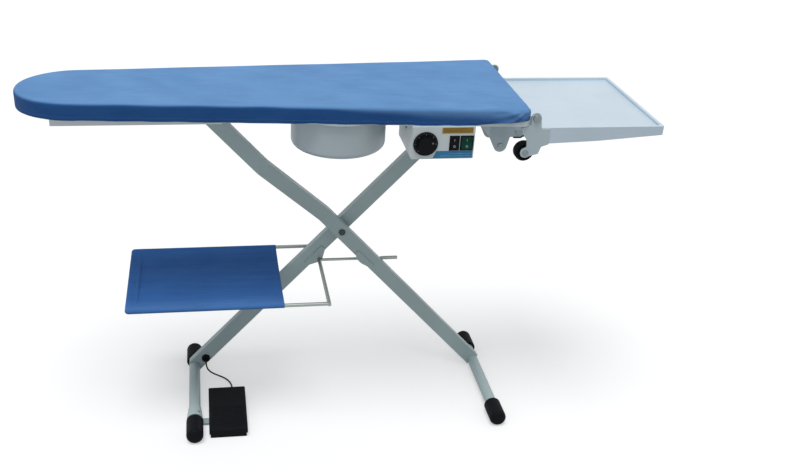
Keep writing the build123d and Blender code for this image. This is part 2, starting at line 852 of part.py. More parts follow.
# Tail leg beam: the same tube, joggled sideways so that its head meets the rail
tail_beam_plane = Plane(origin=(cross_x, 0, cross_z), x_dir=(-cosine, 0, sine), z_dir=(sine, 0, cosine))
with BuildPart() as tail_leg_beam:
    with BuildSketch(tail_beam_plane):
        with BuildLine():
            FilletPolyline(
                (-leg_lower, -tail_leg_y),
                (jog_start, -tail_leg_y),
                (jog_end, -slider_leg_y),
                (leg_upper + leg_depth / 2, -slider_leg_y),
                radius=jog_bend,
            )
        trace(line_width=leg_width)
    extrude(amount=leg_depth / 2, both=True)
    fillet(
        tail_leg_beam.edges().filter_by(Axis.Y).group_by(Axis.Z)[-1]
        + tail_leg_beam.edges().filter_by(Axis.Y).group_by(Axis.X)[0],
        leg_depth / 2 - leg_head_flat,
    )
    with BuildSketch(tail_beam_plane):
        with BuildLine():
            FilletPolyline(
                (-leg_lower, -tail_leg_y),
                (jog_start, -tail_leg_y),
                (jog_end, -slider_leg_y),
                (leg_upper - leg_depth / 2, -slider_leg_y),
                radius=jog_bend,
            )
        trace(line_width=leg_width - 2 * leg_wall)
    extrude(amount=leg_depth / 2 - leg_wall, both=True, mode=Mode.SUBTRACT)
    with BuildSketch(tail_leg_plane(tail_leg_y)):
        Circle(pivot_radius + running)
        with Locations((-leg_lower, 0)):
            Circle(bar_radius + slip)
    extrude(amount=leg_width, both=True, mode=Mode.SUBTRACT)
    with BuildSketch(tail_leg_plane(slider_leg_y)):
        with Locations((leg_upper, 0)):
            Circle(pivot_radius + slip)
    extrude(amount=leg_width, both=True, mode=Mode.SUBTRACT)
tail_leg_beam.part.label = "tail_leg_beam"
export_step(tail_leg_beam.part, "parts/tail_leg_beam.step")

# Bolt through the crossing, its head on the near leg and its nut on the far one
near_face_y = tail_leg_y - leg_width / 2
far_face_y = nose_leg_y + leg_width / 2
with BuildPart() as crossing_bolt:
    with BuildSketch(at_y(far_face_y + slip)):
        with Locations((cross_x, cross_z)):
            Circle(pivot_radius)
    extrude(amount=far_face_y - near_face_y + 2 * slip)
    with BuildSketch(at_y(near_face_y - slip)):
        with Locations((cross_x, cross_z)):
            Circle(pivot_radius + bolt_head)
    extrude(amount=bolt_head + nut_edge)
    fillet(crossing_bolt.edges().group_by(Axis.Y)[0], bolt_round)
    with BuildSketch(at_y(far_face_y + slip + 2 * bolt_head)):
        with Locations((cross_x, cross_z)):
            RegularPolygon(pivot_radius + bolt_head + nut_edge, 6)
    extrude(amount=2 * bolt_head)
crossing_bolt.part.label = "crossing_bolt"
export_step(crossing_bolt.part, "parts/crossing_bolt.step")

# Spacer bush between the two legs
tail_far_y = tail_leg_y + leg_width / 2
nose_near_y = nose_leg_y - leg_width / 2
with BuildPart() as crossing_bush:
    with BuildSketch(at_y(nose_near_y - 2 * slip)):
        with Locations((cross_x, cross_z)):
            Circle(2 * pivot_radius)
            Circle(pivot_radius + running, mode=Mode.SUBTRACT)
    extrude(amount=nose_near_y - tail_far_y - 3 * slip)
crossing_bush.part.label = "crossing_bush"
export_step(crossing_bush.part, "parts/crossing_bush.step")


def foot_bar(centre_x):
    """Round cross tube of one leg."""
    with BuildPart() as bar:
        with BuildSketch(at_y(bar_half)):
            with Locations((centre_x, foot_z)):
                Circle(bar_radius)
                Circle(bar_radius - bar_wall, mode=Mode.SUBTRACT)
        extrude(amount=2 * bar_half)
    return bar.part


def foot_caps(centre_x):
    """Pair of rubber caps on a foot bar, with a flat where they stand on the floor."""
    with BuildPart() as caps:
        with BuildSketch(at_y(-cap_inner_y)):
            with Locations((centre_x, foot_z)):
                Circle(cap_radius)
        extrude(amount=cap_outer_y - cap_inner_y)
        fillet(caps.edges().group_by(Axis.Y)[-1], cap_front_round)
        fillet(caps.edges().group_by(Axis.Y)[0], cap_end_round)
        with BuildSketch(at_y(-cap_inner_y)):
            with Locations((centre_x, foot_z)):
                Circle(bar_radius + slip)
        extrude(amount=bar_half - cap_inner_y + slip, mode=Mode.SUBTRACT)
        split(bisect_by=Plane.XY, keep=Keep.TOP)
        mirror(about=Plane.XZ)
    return caps.part


with BuildPart() as nose_foot_bar:
    add(foot_bar(nose_foot_x))
nose_foot_bar.part.label = "nose_foot_bar"
export_step(nose_foot_bar.part, "parts/nose_foot_bar.step")

with BuildPart() as tail_foot_bar:
    add(foot_bar(tail_foot_x))
tail_foot_bar.part.label = "tail_foot_bar"
export_step(tail_foot_bar.part, "parts/tail_foot_bar.step")

with BuildPart() as nose_foot_caps:
    add(foot_caps(nose_foot_x))
nose_foot_caps.part.label = "nose_foot_caps"
export_step(nose_foot_caps.part, "parts/nose_foot_caps.step")

with BuildPart() as tail_foot_caps:
    add(foot_caps(tail_foot_x))
tail_foot_caps.part.label = "tail_foot_caps"
export_step(tail_foot_caps.part, "parts/tail_foot_caps.step")

# Shelf gusset: two cheeks on the nose leg that carry the pivot rod of the shelf
gusset_y = leg_width / 2 + slip
with BuildPart() as shelf_gusset:
    for cheek_y in (nose_leg_y - gusset_y, nose_leg_y + gusset_y + weld_plate):
        with BuildSketch(nose_leg_plane(cheek_y)):
            with Locations((-shelf_pin_down, -shelf_pin_out)):
                Circle(rod_radius + gusset_nose)
            with Locations((-shelf_pin_down, -leg_depth / 4)):
                Rectangle(gusset_root_length, gusset_root_height)
            make_hull()
            with Locations((-shelf_pin_down, -shelf_pin_out)):
                Circle(rod_radius + running, mode=Mode.SUBTRACT)
        extrude(amount=weld_plate)
shelf_gusset.part.label = "shelf_gusset"
export_step(shelf_gusset.part, "parts/shelf_gusset.step")

# Stay gusset: low cheeks on the tail leg at the same height
with BuildPart() as stay_gusset:
    for cheek_y in (tail_leg_y - gusset_y, tail_leg_y + gusset_y + weld_plate):
        with BuildSketch(tail_leg_plane(cheek_y)):
            with BuildLine():
                Polyline(
                    (-stay_cheek_ends[0], stay_cheek_root),
                    (-stay_cheek_ends[0], stay_cheek_shoulder),
                    (-stay_cheek_crest_ends[0], stay_cheek_crest),
                    (-stay_cheek_crest_ends[1], stay_cheek_crest),
                    (-stay_cheek_ends[1], stay_cheek_shoulder),
                    (-stay_cheek_ends[1], stay_cheek_root),
                    close=True,
                )
            make_face()
        extrude(amount=weld_plate)
stay_gusset.part.label = "stay_gusset"
export_step(stay_gusset.part, "parts/stay_gusset.step")

# Stub on the far cheek that the stay bar presses up against
stop_near_y = tail_leg_y + gusset_y + weld_plate
with BuildPart() as stay_stop:
    with BuildSketch(at_y(stay_y + stay_radius)):
        with Locations((stop_x, stop_z)):
            Circle(stop_radius)
    extrude(amount=stay_y + stay_radius - stop_near_y)
stay_stop.part.label = "stay_stop"
export_step(stay_stop.part, "parts/stay_stop.step")

# Shelf frame: bent rod on three sides, and the cross rod that is the pivot
with BuildPart() as shelf_frame:
    with BuildLine() as shelf_path:
        FilletPolyline(
            (shelf_x, shelf_near_y, shelf_z),
            (shelf_nose_x, shelf_near_y, shelf_z),
            (shelf_nose_x, shelf_far_y, shelf_z),
            (shelf_x, shelf_far_y, shelf_z),
            radius=shelf_corner,
        )
    with BuildSketch(Plane(origin=shelf_path.line @ 0, z_dir=shelf_path.line % 0)):
        Circle(rod_radius)
    sweep()
    with BuildSketch(at_y(shelf_far_y + rod_radius)):
        with Locations((shelf_x, shelf_z)):
            Circle(rod_radius)
    extrude(amount=shelf_far_y - shelf_near_y + 2 * rod_radius)
shelf_frame.part.label = "shelf_frame"
export_step(shelf_frame.part, "parts/shelf_frame.step")

# Shelf fabric: a sheet with pockets round three rods
pocket_inner = rod_radius + fabric_gap
pocket_outer = pocket_inner + fabric_thickness
with BuildPart() as shelf_fabric:
    with BuildLine() as pocket_path:
        FilletPolyline(
            (fabric_tail_x, shelf_near_y, shelf_z),
            (shelf_nose_x, shelf_near_y, shelf_z),
            (shelf_nose_x, shelf_far_y, shelf_z),
            (fabric_tail_x, shelf_far_y, shelf_z),
            radius=shelf_corner,
        )
    with BuildSketch(Plane(origin=pocket_path.line @ 0, z_dir=pocket_path.line % 0)):
        Circle(pocket_outer)
        Circle(pocket_inner, mode=Mode.SUBTRACT)
    sweep()
    with BuildSketch(Plane.XY.offset(shelf_z + pocket_inner)):
        with Locations(((fabric_tail_x + shelf_nose_x) / 2, (shelf_near_y + shelf_far_y) / 2)):
            Rectangle(fabric_tail_x - shelf_nose_x, shelf_far_y - shelf_near_y)
    extrude(amount=fabric_thickness)
shelf_fabric.part.label = "shelf_fabric"
export_step(shelf_fabric.part, "parts/shelf_fabric.step")

# Stay bar, welded to the pivot rod and running between the legs
with BuildPart() as stay_bar:
    with BuildSketch(Plane.YZ.offset(shelf_x)):
        with Locations((stay_y, shelf_z)):
            Circle(stay_radius)
    extrude(amount=stay_end_x - sleeve_end - shelf_x)
    with BuildSketch(at_y(stay_y + 2 * stay_radius)):
        with Locations((shelf_x, shelf_z)):
            Circle(rod_radius + slip)
    extrude(amount=4 * stay_radius, mode=Mode.SUBTRACT)
stay_bar.part.label = "stay_bar"
export_step(stay_bar.part, "parts/stay_bar.step")

# Plastic sleeve on the free end of the stay bar
with BuildPart() as stay_sleeve:
    with BuildSketch(Plane.YZ.offset(stay_end_x - sleeve_length)):
        with Locations((stay_y, shelf_z)):
            Circle(sleeve_radius)
    extrude(amount=sleeve_length)
    fillet(stay_sleeve.edges().group_by(Axis.X)[-1], sleeve_end)
    with BuildSketch(Plane.YZ.offset(stay_end_x - sleeve_length)):
        with Locations((stay_y, shelf_z)):
            Circle(stay_radius + slip)
    extrude(amount=sleeve_length - sleeve_end + slip, mode=Mode.SUBTRACT)
stay_sleeve.part.label = "stay_sleeve"
export_step(stay_sleeve.part, "parts/stay_sleeve.step")

# Tail bracket: web and two plates, with lobes below and an arm over the folded foot bar
rest_radius = bar_radius + rest_gap + rest_thickness
with BuildPart() as tail_bracket:
    with BuildSketch(at_y(-cradle_half + weld_plate)):
        with Locations((cradle_lobe_x, cradle_lobe_z)):
            Circle(cradle_lobe_radius)
        with Locations((cradle_x, cradle_web_z)):
            Rectangle(cradle_root_length, cradle_root_height, align=(Align.MIN, Align.MIN))
        make_hull()
        with BuildLine():
            Polyline(
                (cradle_x, cradle_arm_z),
                (cradle_arm_x, cradle_arm_z),
                (cradle_arm_x, cradle_arm_top_z - cradle_arm_chamfer),
                (cradle_arm_x - cradle_arm_chamfer, cradle_arm_top_z),
                (tail_x + cradle_tail_gap, cradle_arm_top_z),
                (tail_x - cradle_tail_gap, under_z),
                (cradle_x, under_z),
                close=True,
            )
        make_face()
        with Locations((folded_bar_x, folded_bar_z)):
            Circle(rest_radius, mode=Mode.SUBTRACT)
        with Locations((cradle_lobe_x, cradle_lobe_z), (tie_high_x, tie_high_z)):
            Circle(tie_radius + slip, mode=Mode.SUBTRACT)
    extrude(amount=weld_plate)
    with BuildSketch(Plane.XY.offset(under_z - weld_plate)):
        with Locations((cradle_x, -cradle_half)):
            Rectangle(
                tail_x - cradle_tail_gap - cradle_x, cradle_flange, align=(Align.MIN, Align.MAX)
            )
    extrude(amount=weld_plate)
    mirror(about=Plane.XZ)
    with BuildSketch(Plane.YZ.offset(cradle_x)):
        with Locations((0, cradle_web_z)):
            Rectangle(2 * cradle_half, under_z - cradle_web_z, align=(Align.CENTER, Align.MIN))
    extrude(amount=weld_plate)
tail_bracket.part.label = "tail_bracket"
export_step(tail_bracket.part, "parts/tail_bracket.step")

# Tie bolts through both plates, with round heads outside
with BuildPart() as bracket_tie_bolts:
    for bolt_x, bolt_z in ((cradle_lobe_x, cradle_lobe_z), (tie_high_x, tie_high_z)):
        with BuildSketch(at_y(cradle_half)):
            with Locations((bolt_x, bolt_z)):
                Circle(tie_radius)
        extrude(amount=2 * cradle_half)
        for head_y in (cradle_half + bolt_head, -cradle_half):
            with BuildSketch(at_y(head_y)):
                with Locations((bolt_x, bolt_z)):
                    Circle(tie_radius + tie_head_edge)
            extrude(amount=bolt_head)
bracket_tie_bolts.part.label = "bracket_tie_bolts"
export_step(bracket_tie_bolts.part, "parts/bracket_tie_bolts.step")

# Rubber edging that the folded foot bar lies against
rest_z = cradle_arm_z - rest_thickness / 2
with BuildPart() as rest_pads:
    with BuildSketch(at_y(-cradle_half + weld_plate / 2 + rest_width / 2)):
        with Locations((folded_bar_x, folded_bar_z)):
            Circle(rest_radius)
        with Locations((rest_start_x, cradle_arm_z)):
            Rectangle(folded_bar_x - rest_start_x, rest_thickness, align=(Align.MIN, Align.MAX))
        with Locations((folded_bar_x, folded_bar_z)):
            Circle(rest_radius - rest_thickness, mode=Mode.SUBTRACT)
        with Locations((folded_bar_x, rest_z - rest_thickness / 2)):
            Rectangle(4 * rest_radius, 4 * rest_radius, align=(Align.CENTER, Align.MAX), mode=Mode.SUBTRACT)
    extrude(amount=rest_width)
    mirror(about=Plane.XZ)
rest_pads.part.label = "rest_pads"
export_step(rest_pads.part, "parts/rest_pads.step")

# Lugs under the tail that carry the tray's hinge bolts
lug_outer_y = tray_half - lug_gap
lug_inner_y = lug_outer_y - weld_plate
lug_neck = lug_radius - lug_neck_inset
with BuildPart() as tray_lugs:
    with BuildSketch(at_y(-lug_inner_y)):
        with Locations((hinge_x, hinge_z)):
            Circle(lug_radius)
        with BuildLine():
            Polyline(
                (lug_nose_x, under_z),
                (lug_nose_x, under_z - lug_radius),
                (tail_x + lug_tail, under_z - lug_radius),
                (hinge_x + lug_neck, hinge_z - lug_neck_drop),
                (hinge_x - lug_neck, hinge_z - lug_neck_drop),
                (hinge_x - lug_neck, under_z),
                close=True,
            )
        make_face()
        with Locations((hinge_x, hinge_z)):
            Circle(hinge_radius + slip, mode=Mode.SUBTRACT)
    extrude(amount=weld_plate)
    with BuildSketch(Plane.XY.offset(under_z - weld_plate)):
        with Locations((lug_nose_x, -lug_outer_y)):
            Rectangle(
                tail_x - cradle_tail_gap - lug_nose_x, lug_flange, align=(Align.MIN, Align.MIN)
            )
    extrude(amount=weld_plate)
    mirror(about=Plane.XZ)
tray_lugs.part.label = "tray_lugs"
export_step(tray_lugs.part, "parts/tray_lugs.step")

# Hinge bolts of the tray: wide heads outside the ears, nuts inside the lugs
ear_outer_y = tray_half + ear_thickness
with BuildPart() as tray_hinge_bolts:
    with BuildSketch(at_y(-lug_inner_y + hinge_nut_depth)):
        with Locations((hinge_x, hinge_z)):
            Circle(hinge_radius)
    extrude(amount=ear_outer_y + slip - lug_inner_y + hinge_nut_depth)
    with BuildSketch(at_y(-ear_outer_y - slip)):
        with Locations((hinge_x, hinge_z)):
            Circle(hinge_head)
    extrude(amount=hinge_head_depth)
    fillet(tray_hinge_bolts.edges().group_by(Axis.Y)[0], hinge_round)
    with BuildSketch(at_y(-lug_inner_y + hinge_nut_depth)):
        with Locations((hinge_x, hinge_z)):
            RegularPolygon(hinge_head, 6)
    extrude(amount=hinge_nut_depth - slip)
    mirror(about=Plane.XZ)
tray_hinge_bolts.part.label = "tray_hinge_bolts"
export_step(tray_hinge_bolts.part, "parts/tray_hinge_bolts.step")

# Tray: one sheet with a dished floor, a flat rim and flanges that taper towards the outer end
with BuildPart() as tray_pan:
    with BuildSketch(at_y(tray_half)):
        with BuildLine():
            Polyline(
                (tray_inner_x, tray_rim_z),
                (tray_outer_x, tray_rim_z),
                (tray_outer_x, tray_rim_z - tray_end_depth),
                (tray_middle_x, tray_rim_z - tray_middle_depth),
                (tray_inner_x, tray_rim_z - tray_hinge_depth),
                close=True,
            )
        make_face()
    extrude(amount=2 * tray_half)
    fillet(tray_pan.edges().filter_by(Axis.Z), tray_corner)
    tray_length = tray_outer_x - tray_inner_x
    tray_centre_x = (tray_outer_x + tray_inner_x) / 2
    dish_z = tray_rim_z - tray_dish
    with BuildSketch(Plane.XY.offset(tray_rim_z - tray_sheet)):
        with Locations((tray_centre_x, 0)):
            RectangleRounded(
                tray_length - 2 * tray_sheet, 2 * (tray_half - tray_sheet), tray_corner - tray_sheet
            )
    extrude(amount=-tray_hinge_depth, mode=Mode.SUBTRACT)
    with BuildSketch(Plane.XY.offset(dish_z - tray_sheet)):
        with Locations((tray_centre_x, 0)):
            RectangleRounded(
                tray_length - 2 * (tray_rim - tray_sheet),
                2 * (tray_half - tray_rim + tray_sheet),
                tray_corner,
            )
    extrude(amount=tray_dish)
    with BuildSketch(Plane.XY.offset(dish_z)):
        with Locations((tray_centre_x, 0)):
            RectangleRounded(tray_length - 2 * tray_rim, 2 * (tray_half - tray_rim), tray_corner)
    extrude(amount=tray_dish, mode=Mode.SUBTRACT)
tray_pan.part.label = "tray_pan"
export_step(tray_pan.part, "parts/tray_pan.step")

# Tray ears: plates that hang below the hinge and hold the wheels.
# Their outline is drawn from the tail of the board and its underside.
with BuildPart() as tray_ears:
    with BuildSketch(at_y(-tray_half)) as ear_side:
        with BuildLine():
            Polyline(
                (tail_x + 1.8, hinge_z + 7),
                (tail_x + 1.8, under_z - 1),
                (tail_x - 20, under_z - 5),
                (tail_x - 16, under_z - 20),
                (tail_x - 5, under_z - 36),
                (tail_x - 3, under_z - 54),
                (wheel_x - axle_lobe + 1, wheel_z + 6),
                (wheel_x - axle_lobe + 1, wheel_z - 2),
                (wheel_x + 9, wheel_z - 9),
                (tail_x + 27, under_z - 72),
                (tail_x + 33, under_z - 54),
                (tail_x + 50, under_z - 48),
                (tail_x + 50, tray_rim_z - 2),
                (tail_x + 28, tray_rim_z - 2),
                (hinge_x + 11, hinge_z + 7),
                close=True,
            )
        make_face()
        fillet(ear_side.vertices().group_by(Axis.Y)[-1], ear_corner)
        with Locations((wheel_x, wheel_z)):
            Circle(axle_lobe)
        with Locations((hinge_x, hinge_z)):
            Circle(hinge_radius + running, mode=Mode.SUBTRACT)
        with Locations((wheel_x, wheel_z)):
            Circle(axle_radius + slip, mode=Mode.SUBTRACT)
    extrude(amount=ear_thickness)
    mirror(about=Plane.XZ)
tray_ears.part.label = "tray_ears"
export_step(tray_ears.part, "parts/tray_ears.step")

# Axle bolts of the wheels, with a collar against the ear and a clip inside
wheel_outer_y = tray_half - wheel_ear_gap
wheel_inner_y = wheel_outer_y - wheel_width
with BuildPart() as wheel_axles:
    with BuildSketch(at_y(-wheel_inner_y + axle_clip)):
        with Locations((wheel_x, wheel_z)):
            Circle(axle_radius)
    extrude(amount=ear_outer_y - wheel_inner_y + axle_clip)
    with BuildSketch(at_y(-ear_outer_y - slip)):
        with Locations((wheel_x, wheel_z)):
            Circle(axle_collar)
    extrude(amount=bolt_head)
    fillet(wheel_axles.edges().group_by(Axis.Y)[0], axle_round)
    with BuildSketch(at_y(-wheel_outer_y - 3 * slip)):
        with Locations((wheel_x, wheel_z)):
            Circle(axle_collar)
    extrude(amount=wheel_ear_gap - 4 * slip)
    with BuildSketch(at_y(-wheel_inner_y + axle_clip)):
        with Locations((wheel_x, wheel_z)):
            Circle(axle_collar)
    extrude(amount=axle_clip - 3 * slip)
    with BuildSketch(at_y(-ear_outer_y + slip)):
        with Locations((wheel_x, wheel_z)):
            Circle(axle_radius)
    extrude(amount=2 * slip)
    mirror(about=Plane.XZ)
wheel_axles.part.label = "wheel_axles"
export_step(wheel_axles.part, "parts/wheel_axles.step")


def tray_wheel(middle_y):
    """Solid rubber wheel with a rounded tread and dished sides."""
    half = wheel_width / 2
    rim_radius = wheel_radius - wheel_rim
    with BuildPart() as wheel:
        with BuildSketch(Plane.XY) as section:
            with BuildLine():
                Polyline(
                    (axle_radius + running, -half),
                    (wheel_hub, -half),
                    (wheel_hub + wheel_dish_slope, wheel_dish - half),
                    (rim_radius - wheel_dish_slope, wheel_dish - half),
                    (rim_radius, -half),
                    (wheel_radius, -half),
                    (wheel_radius, half),
                    (rim_radius, half),
                    (rim_radius - wheel_dish_slope, half - wheel_dish),
                    (wheel_hub + wheel_dish_slope, half - wheel_dish),
                    (wheel_hub, half),
                    (axle_radius + running, half),
                    close=True,
                )
            make_face()
            fillet(section.vertices().group_by(Axis.X)[-1], tread_round)
        revolve(axis=Axis.Y)
    return Pos(wheel_x, middle_y, wheel_z) * wheel.part


with BuildPart() as near_wheel:
    add(tray_wheel(-wheel_outer_y + wheel_width / 2))
near_wheel.part.label = "near_wheel"
export_step(near_wheel.part, "parts/near_wheel.step")

with BuildPart() as far_wheel:
    add(tray_wheel(wheel_outer_y - wheel_width / 2))
far_wheel.part.label = "far_wheel"
export_step(far_wheel.part, "parts/far_wheel.step")

# Pedal collar: a flared sleeve that turns on the nose foot bar, with the strap to the pedal
strap_near_y = collar_end_y
base_nose_x = pedal_nose_x + base_inset
with BuildPart() as pedal_collar:
    with BuildSketch(Plane.XY):
        with BuildLine():
            Polyline(
                (0, collar_start_y),
                (collar_small_radius, collar_start_y),
                (collar_large_radius, collar_cone_y),
                (collar_large_radius, collar_end_y),
                (0, collar_end_y),
                close=True,
            )
        make_face()
    revolve(axis=Axis.Y)
    with BuildSketch(Plane.XY.offset(strap_z - foot_z)):
        with Locations((0, strap_near_y)):
            Rectangle(base_nose_x - nose_foot_x - slip, strap_width, align=(Align.MIN, Align.MIN))
    extrude(amount=strap_thickness)
    with BuildSketch(at_y(0)):
        Circle(bar_radius + running)
    extrude(amount=-collar_end_y + 1, mode=Mode.SUBTRACT)
pedal_collar_placed = Pos(nose_foot_x, 0, foot_z) * pedal_collar.part
pedal_collar_placed.label = "pedal_collar"
export_step(pedal_collar_placed, "parts/pedal_collar.step")

# Pedal base: a low open tray with lugs for the hinge pin
base_width = pedal_width - 2 * base_inset
base_near_y = pedal_near_y + base_inset
base_far_y = pedal_far_y - base_inset
base_length = base_far_y - base_near_y
base_centre = (pedal_nose_x + pedal_width / 2, (base_near_y + base_far_y) / 2)
with BuildPart() as pedal_base:
    with BuildSketch(Plane.XY):
        with Locations(base_centre):
            RectangleRounded(base_width, base_length, pedal_edge)
    extrude(amount=base_height)
    with BuildSketch(Plane.XY.offset(pedal_wall)):
        with Locations(base_centre):
            RectangleRounded(
                base_width - 2 * pedal_wall, base_length - 2 * pedal_wall, pedal_edge - pedal_wall
            )
    extrude(amount=base_height, mode=Mode.SUBTRACT)
    with BuildSketch(Plane.YZ.offset(pedal_nose_x)):
        with Locations((pedal_hinge_y, pedal_hinge_z)):
            Circle(pedal_pin_radius + slip)
    extrude(amount=pedal_width, mode=Mode.SUBTRACT)
    with BuildSketch(at_y(base_far_y)):
        with Locations((pedal_gland_x, pedal_gland_z)):
            Circle(pedal_gland_radius - pedal_gland_neck + slip)
    extrude(amount=pedal_wall, mode=Mode.SUBTRACT)
pedal_base.part.label = "pedal_base"
export_step(pedal_base.part, "parts/pedal_base.step")

# Hinge pin of the pedal cover
with BuildPart() as pedal_pin:
    with BuildSketch(Plane.YZ.offset(pedal_nose_x + slip)):
        with Locations((pedal_hinge_y, pedal_hinge_z)):
            Circle(pedal_pin_radius)
    extrude(amount=pedal_width - 2 * slip)
pedal_pin.part.label = "pedal_pin"
export_step(pedal_pin.part, "parts/pedal_pin.step")

# Pedal cover: a cap over the base, notched for the strap, hinged near its far end
with BuildPart() as pedal_cover:
    with BuildSketch(Plane.XY.offset(pedal_skirt_z)):
        with Locations((pedal_nose_x + pedal_width / 2, (pedal_near_y + pedal_far_y) / 2)):
            RectangleRounded(pedal_width, pedal_far_y - pedal_near_y, pedal_edge + 1)
    extrude(amount=pedal_height - pedal_skirt_z)
    fillet(pedal_cover.edges().group_by(Axis.Z)[-1], pedal_edge)
    for lug_x in (pedal_nose_x, pedal_nose_x + pedal_width - pedal_wall):
        with BuildSketch(Plane.YZ.offset(lug_x)):
            with Locations((pedal_hinge_y, pedal_hinge_z)):
                Circle(pedal_lug_radius)
            with Locations((pedal_hinge_y, pedal_skirt_z + pedal_lug_root / 2)):
                Rectangle(2 * pedal_lug_radius, pedal_lug_root)
            make_hull()
        extrude(amount=pedal_wall)
    with BuildSketch(Plane.XY.offset(pedal_skirt_z)):
        with Locations((pedal_nose_x + pedal_width / 2, (pedal_near_y + pedal_far_y) / 2)):
            RectangleRounded(
                pedal_width - 2 * pedal_wall, pedal_far_y - pedal_near_y - 2 * pedal_wall, pedal_edge
            )
    extrude(amount=pedal_height - pedal_skirt_z - pedal_wall, mode=Mode.SUBTRACT)
    with BuildSketch(Plane.YZ.offset(pedal_nose_x)):
        with Locations((pedal_hinge_y, pedal_hinge_z)):
            Circle(pedal_pin_radius + running)
    extrude(amount=pedal_width, mode=Mode.SUBTRACT)
    with BuildSketch(Plane.YZ.offset(pedal_nose_x)):
        with Locations((strap_near_y - strap_margin, pedal_skirt_z)):
            Rectangle(strap_width + 2 * strap_margin, strap_notch, align=Align.MIN)
    extrude(amount=pedal_wall, mode=Mode.SUBTRACT)
pedal_cover.part.label = "pedal_cover"
export_step(pedal_cover.part, "parts/pedal_cover.step")

# Return spring between base and cover
spring_height = pedal_height - 2 * pedal_wall - 2 * spring_wire - 2 * slip
with BuildPart() as pedal_spring:
    with BuildLine() as spring_path:
        Helix(
            spring_height / spring_turns,
            spring_height,
            spring_radius,
            center=(spring_x, spring_y, pedal_wall + spring_wire + slip),
        )
    with BuildSketch(Plane(origin=spring_path.line @ 0, z_dir=spring_path.line % 0)):
        RegularPolygon(spring_wire, 6)
    sweep(is_frenet=True)
pedal_spring.part.label = "pedal_spring"
export_step(pedal_spring.part, "parts/pedal_spring.step")

# Micro switch on the floor of the base
with BuildPart() as pedal_switch:
    with BuildSketch(Plane.XY.offset(pedal_wall)):
        with Locations((switch_x, switch_y)):
            Rectangle(switch_length, switch_width)
    extrude(amount=switch_height)
    with BuildSketch(Plane.XY.offset(pedal_wall + switch_height)):
        with Locations((switch_x - plunger_off, switch_y)):
            Circle(plunger_radius)
    extrude(amount=plunger_height)
pedal_switch.part.label = "pedal_switch"
export_step(pedal_switch.part, "parts/pedal_switch.step")

# Strain relief in the far wall of the base
cord_end_y = base_far_y + pedal_gland_length
with BuildPart() as pedal_gland:
    with BuildSketch(at_y(cord_end_y)):
        with Locations((pedal_gland_x, pedal_gland_z)):
            Circle(pedal_gland_radius - pedal_gland_tip)
    extrude(amount=pedal_gland_length, taper=-pedal_gland_taper)
    with BuildSketch(at_y(base_far_y)):
        with Locations((pedal_gland_x, pedal_gland_z)):
            Circle(pedal_gland_radius - pedal_gland_neck)
    extrude(amount=pedal_wall + side_gap)
pedal_gland.part.label = "pedal_gland"
export_step(pedal_gland.part, "parts/pedal_gland.step")

# Grommet on the near face of the nose leg, where the pedal cord comes out
with BuildPart() as cord_grommet:
    with BuildSketch(nose_leg_plane(nose_near_y - slip)):
        with Locations((-leg_lower + grommet_up, -grommet_off)):
            Circle(grommet_radius)
    extrude(amount=grommet_depth)
    fillet(cord_grommet.edges().group_by(Axis.Y)[0], grommet_round)
cord_grommet.part.label = "cord_grommet"
export_step(cord_grommet.part, "parts/cord_grommet.step")

# Pedal cord: from the grommet, down in front of the leg and over the floor to the pedal,
# with the chosen points of its route where no piece sets them
grommet_x = cross_x + (grommet_up - leg_lower) * cosine + grommet_off * sine
grommet_z = cross_z + (grommet_up - leg_lower) * sine - grommet_off * cosine
grommet_face_y = nose_near_y - slip - grommet_depth
cord_points = [
    Vector(grommet_x, grommet_face_y, grommet_z),
    Vector(grommet_x, grommet_face_y - cord_straight, grommet_z),
    Vector(grommet_x + 1.4, grommet_face_y - 22.0, grommet_z - 9.2),
    Vector(-344.4, 86.6, 29.0),
    Vector(-336.8, 88.4, 18.8),
    Vector(-326.8, 90.0, 10.0),
    Vector(-314.2, 88.0, 4.6),
    Vector(-300.8, 80.6, 2.6),
    Vector(-289.2, 68.0, 2.3),
    Vector(-281.8, 53.2, 2.6),
    Vector(-278.2, 37.3, 4.0),
    Vector(pedal_gland_x, 20.5, pedal_gland_z),
    Vector(pedal_gland_x, cord_end_y, pedal_gland_z),
]
cord_radii = []
for before, corner, after in zip(cord_points, cord_points[1:], cord_points[2:]):
    shorter = min((corner - before).length, (after - corner).length)
    turn = radians((corner - before).get_angle(after - corner))
    cord_radii.append(0.45 * shorter / tan(turn / 2))
print("cord bend radii", [round(radius, 1) for radius in cord_radii])

with BuildPart() as pedal_cord:
    with BuildLine() as cord_path:
        FilletPolyline(*cord_points, radius=cord_radii)
    with BuildSketch(Plane(origin=cord_path.line @ 0, z_dir=cord_path.line % 0)):
        Circle(cord_radius)
    sweep()
pedal_cord.part.label = "pedal_cord"
export_step(pedal_cord.part, "parts/pedal_cord.step")
cord_length = sum(edge.length for edge in cord_path.line.edges())
print("cord length", round(cord_length, 1), "volume", round(pedal_cord.part.volume, 1))
print("section times length", round(pi * cord_radius**2 * cord_length, 1))
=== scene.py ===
# %% [markdown]
# # A folding vacuum ironing table
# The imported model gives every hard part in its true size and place. This lesson dresses it: cloth that
# is cut, hemmed and stitched, painted steel, rubber and moulded plastic, under plain studio light.
# Each step says what the real thing is, how it could be made, and why this way was chosen.

from math import atan2, cos, pi, radians, sin

import bmesh
import bpy
from mathutils import Matrix, Vector


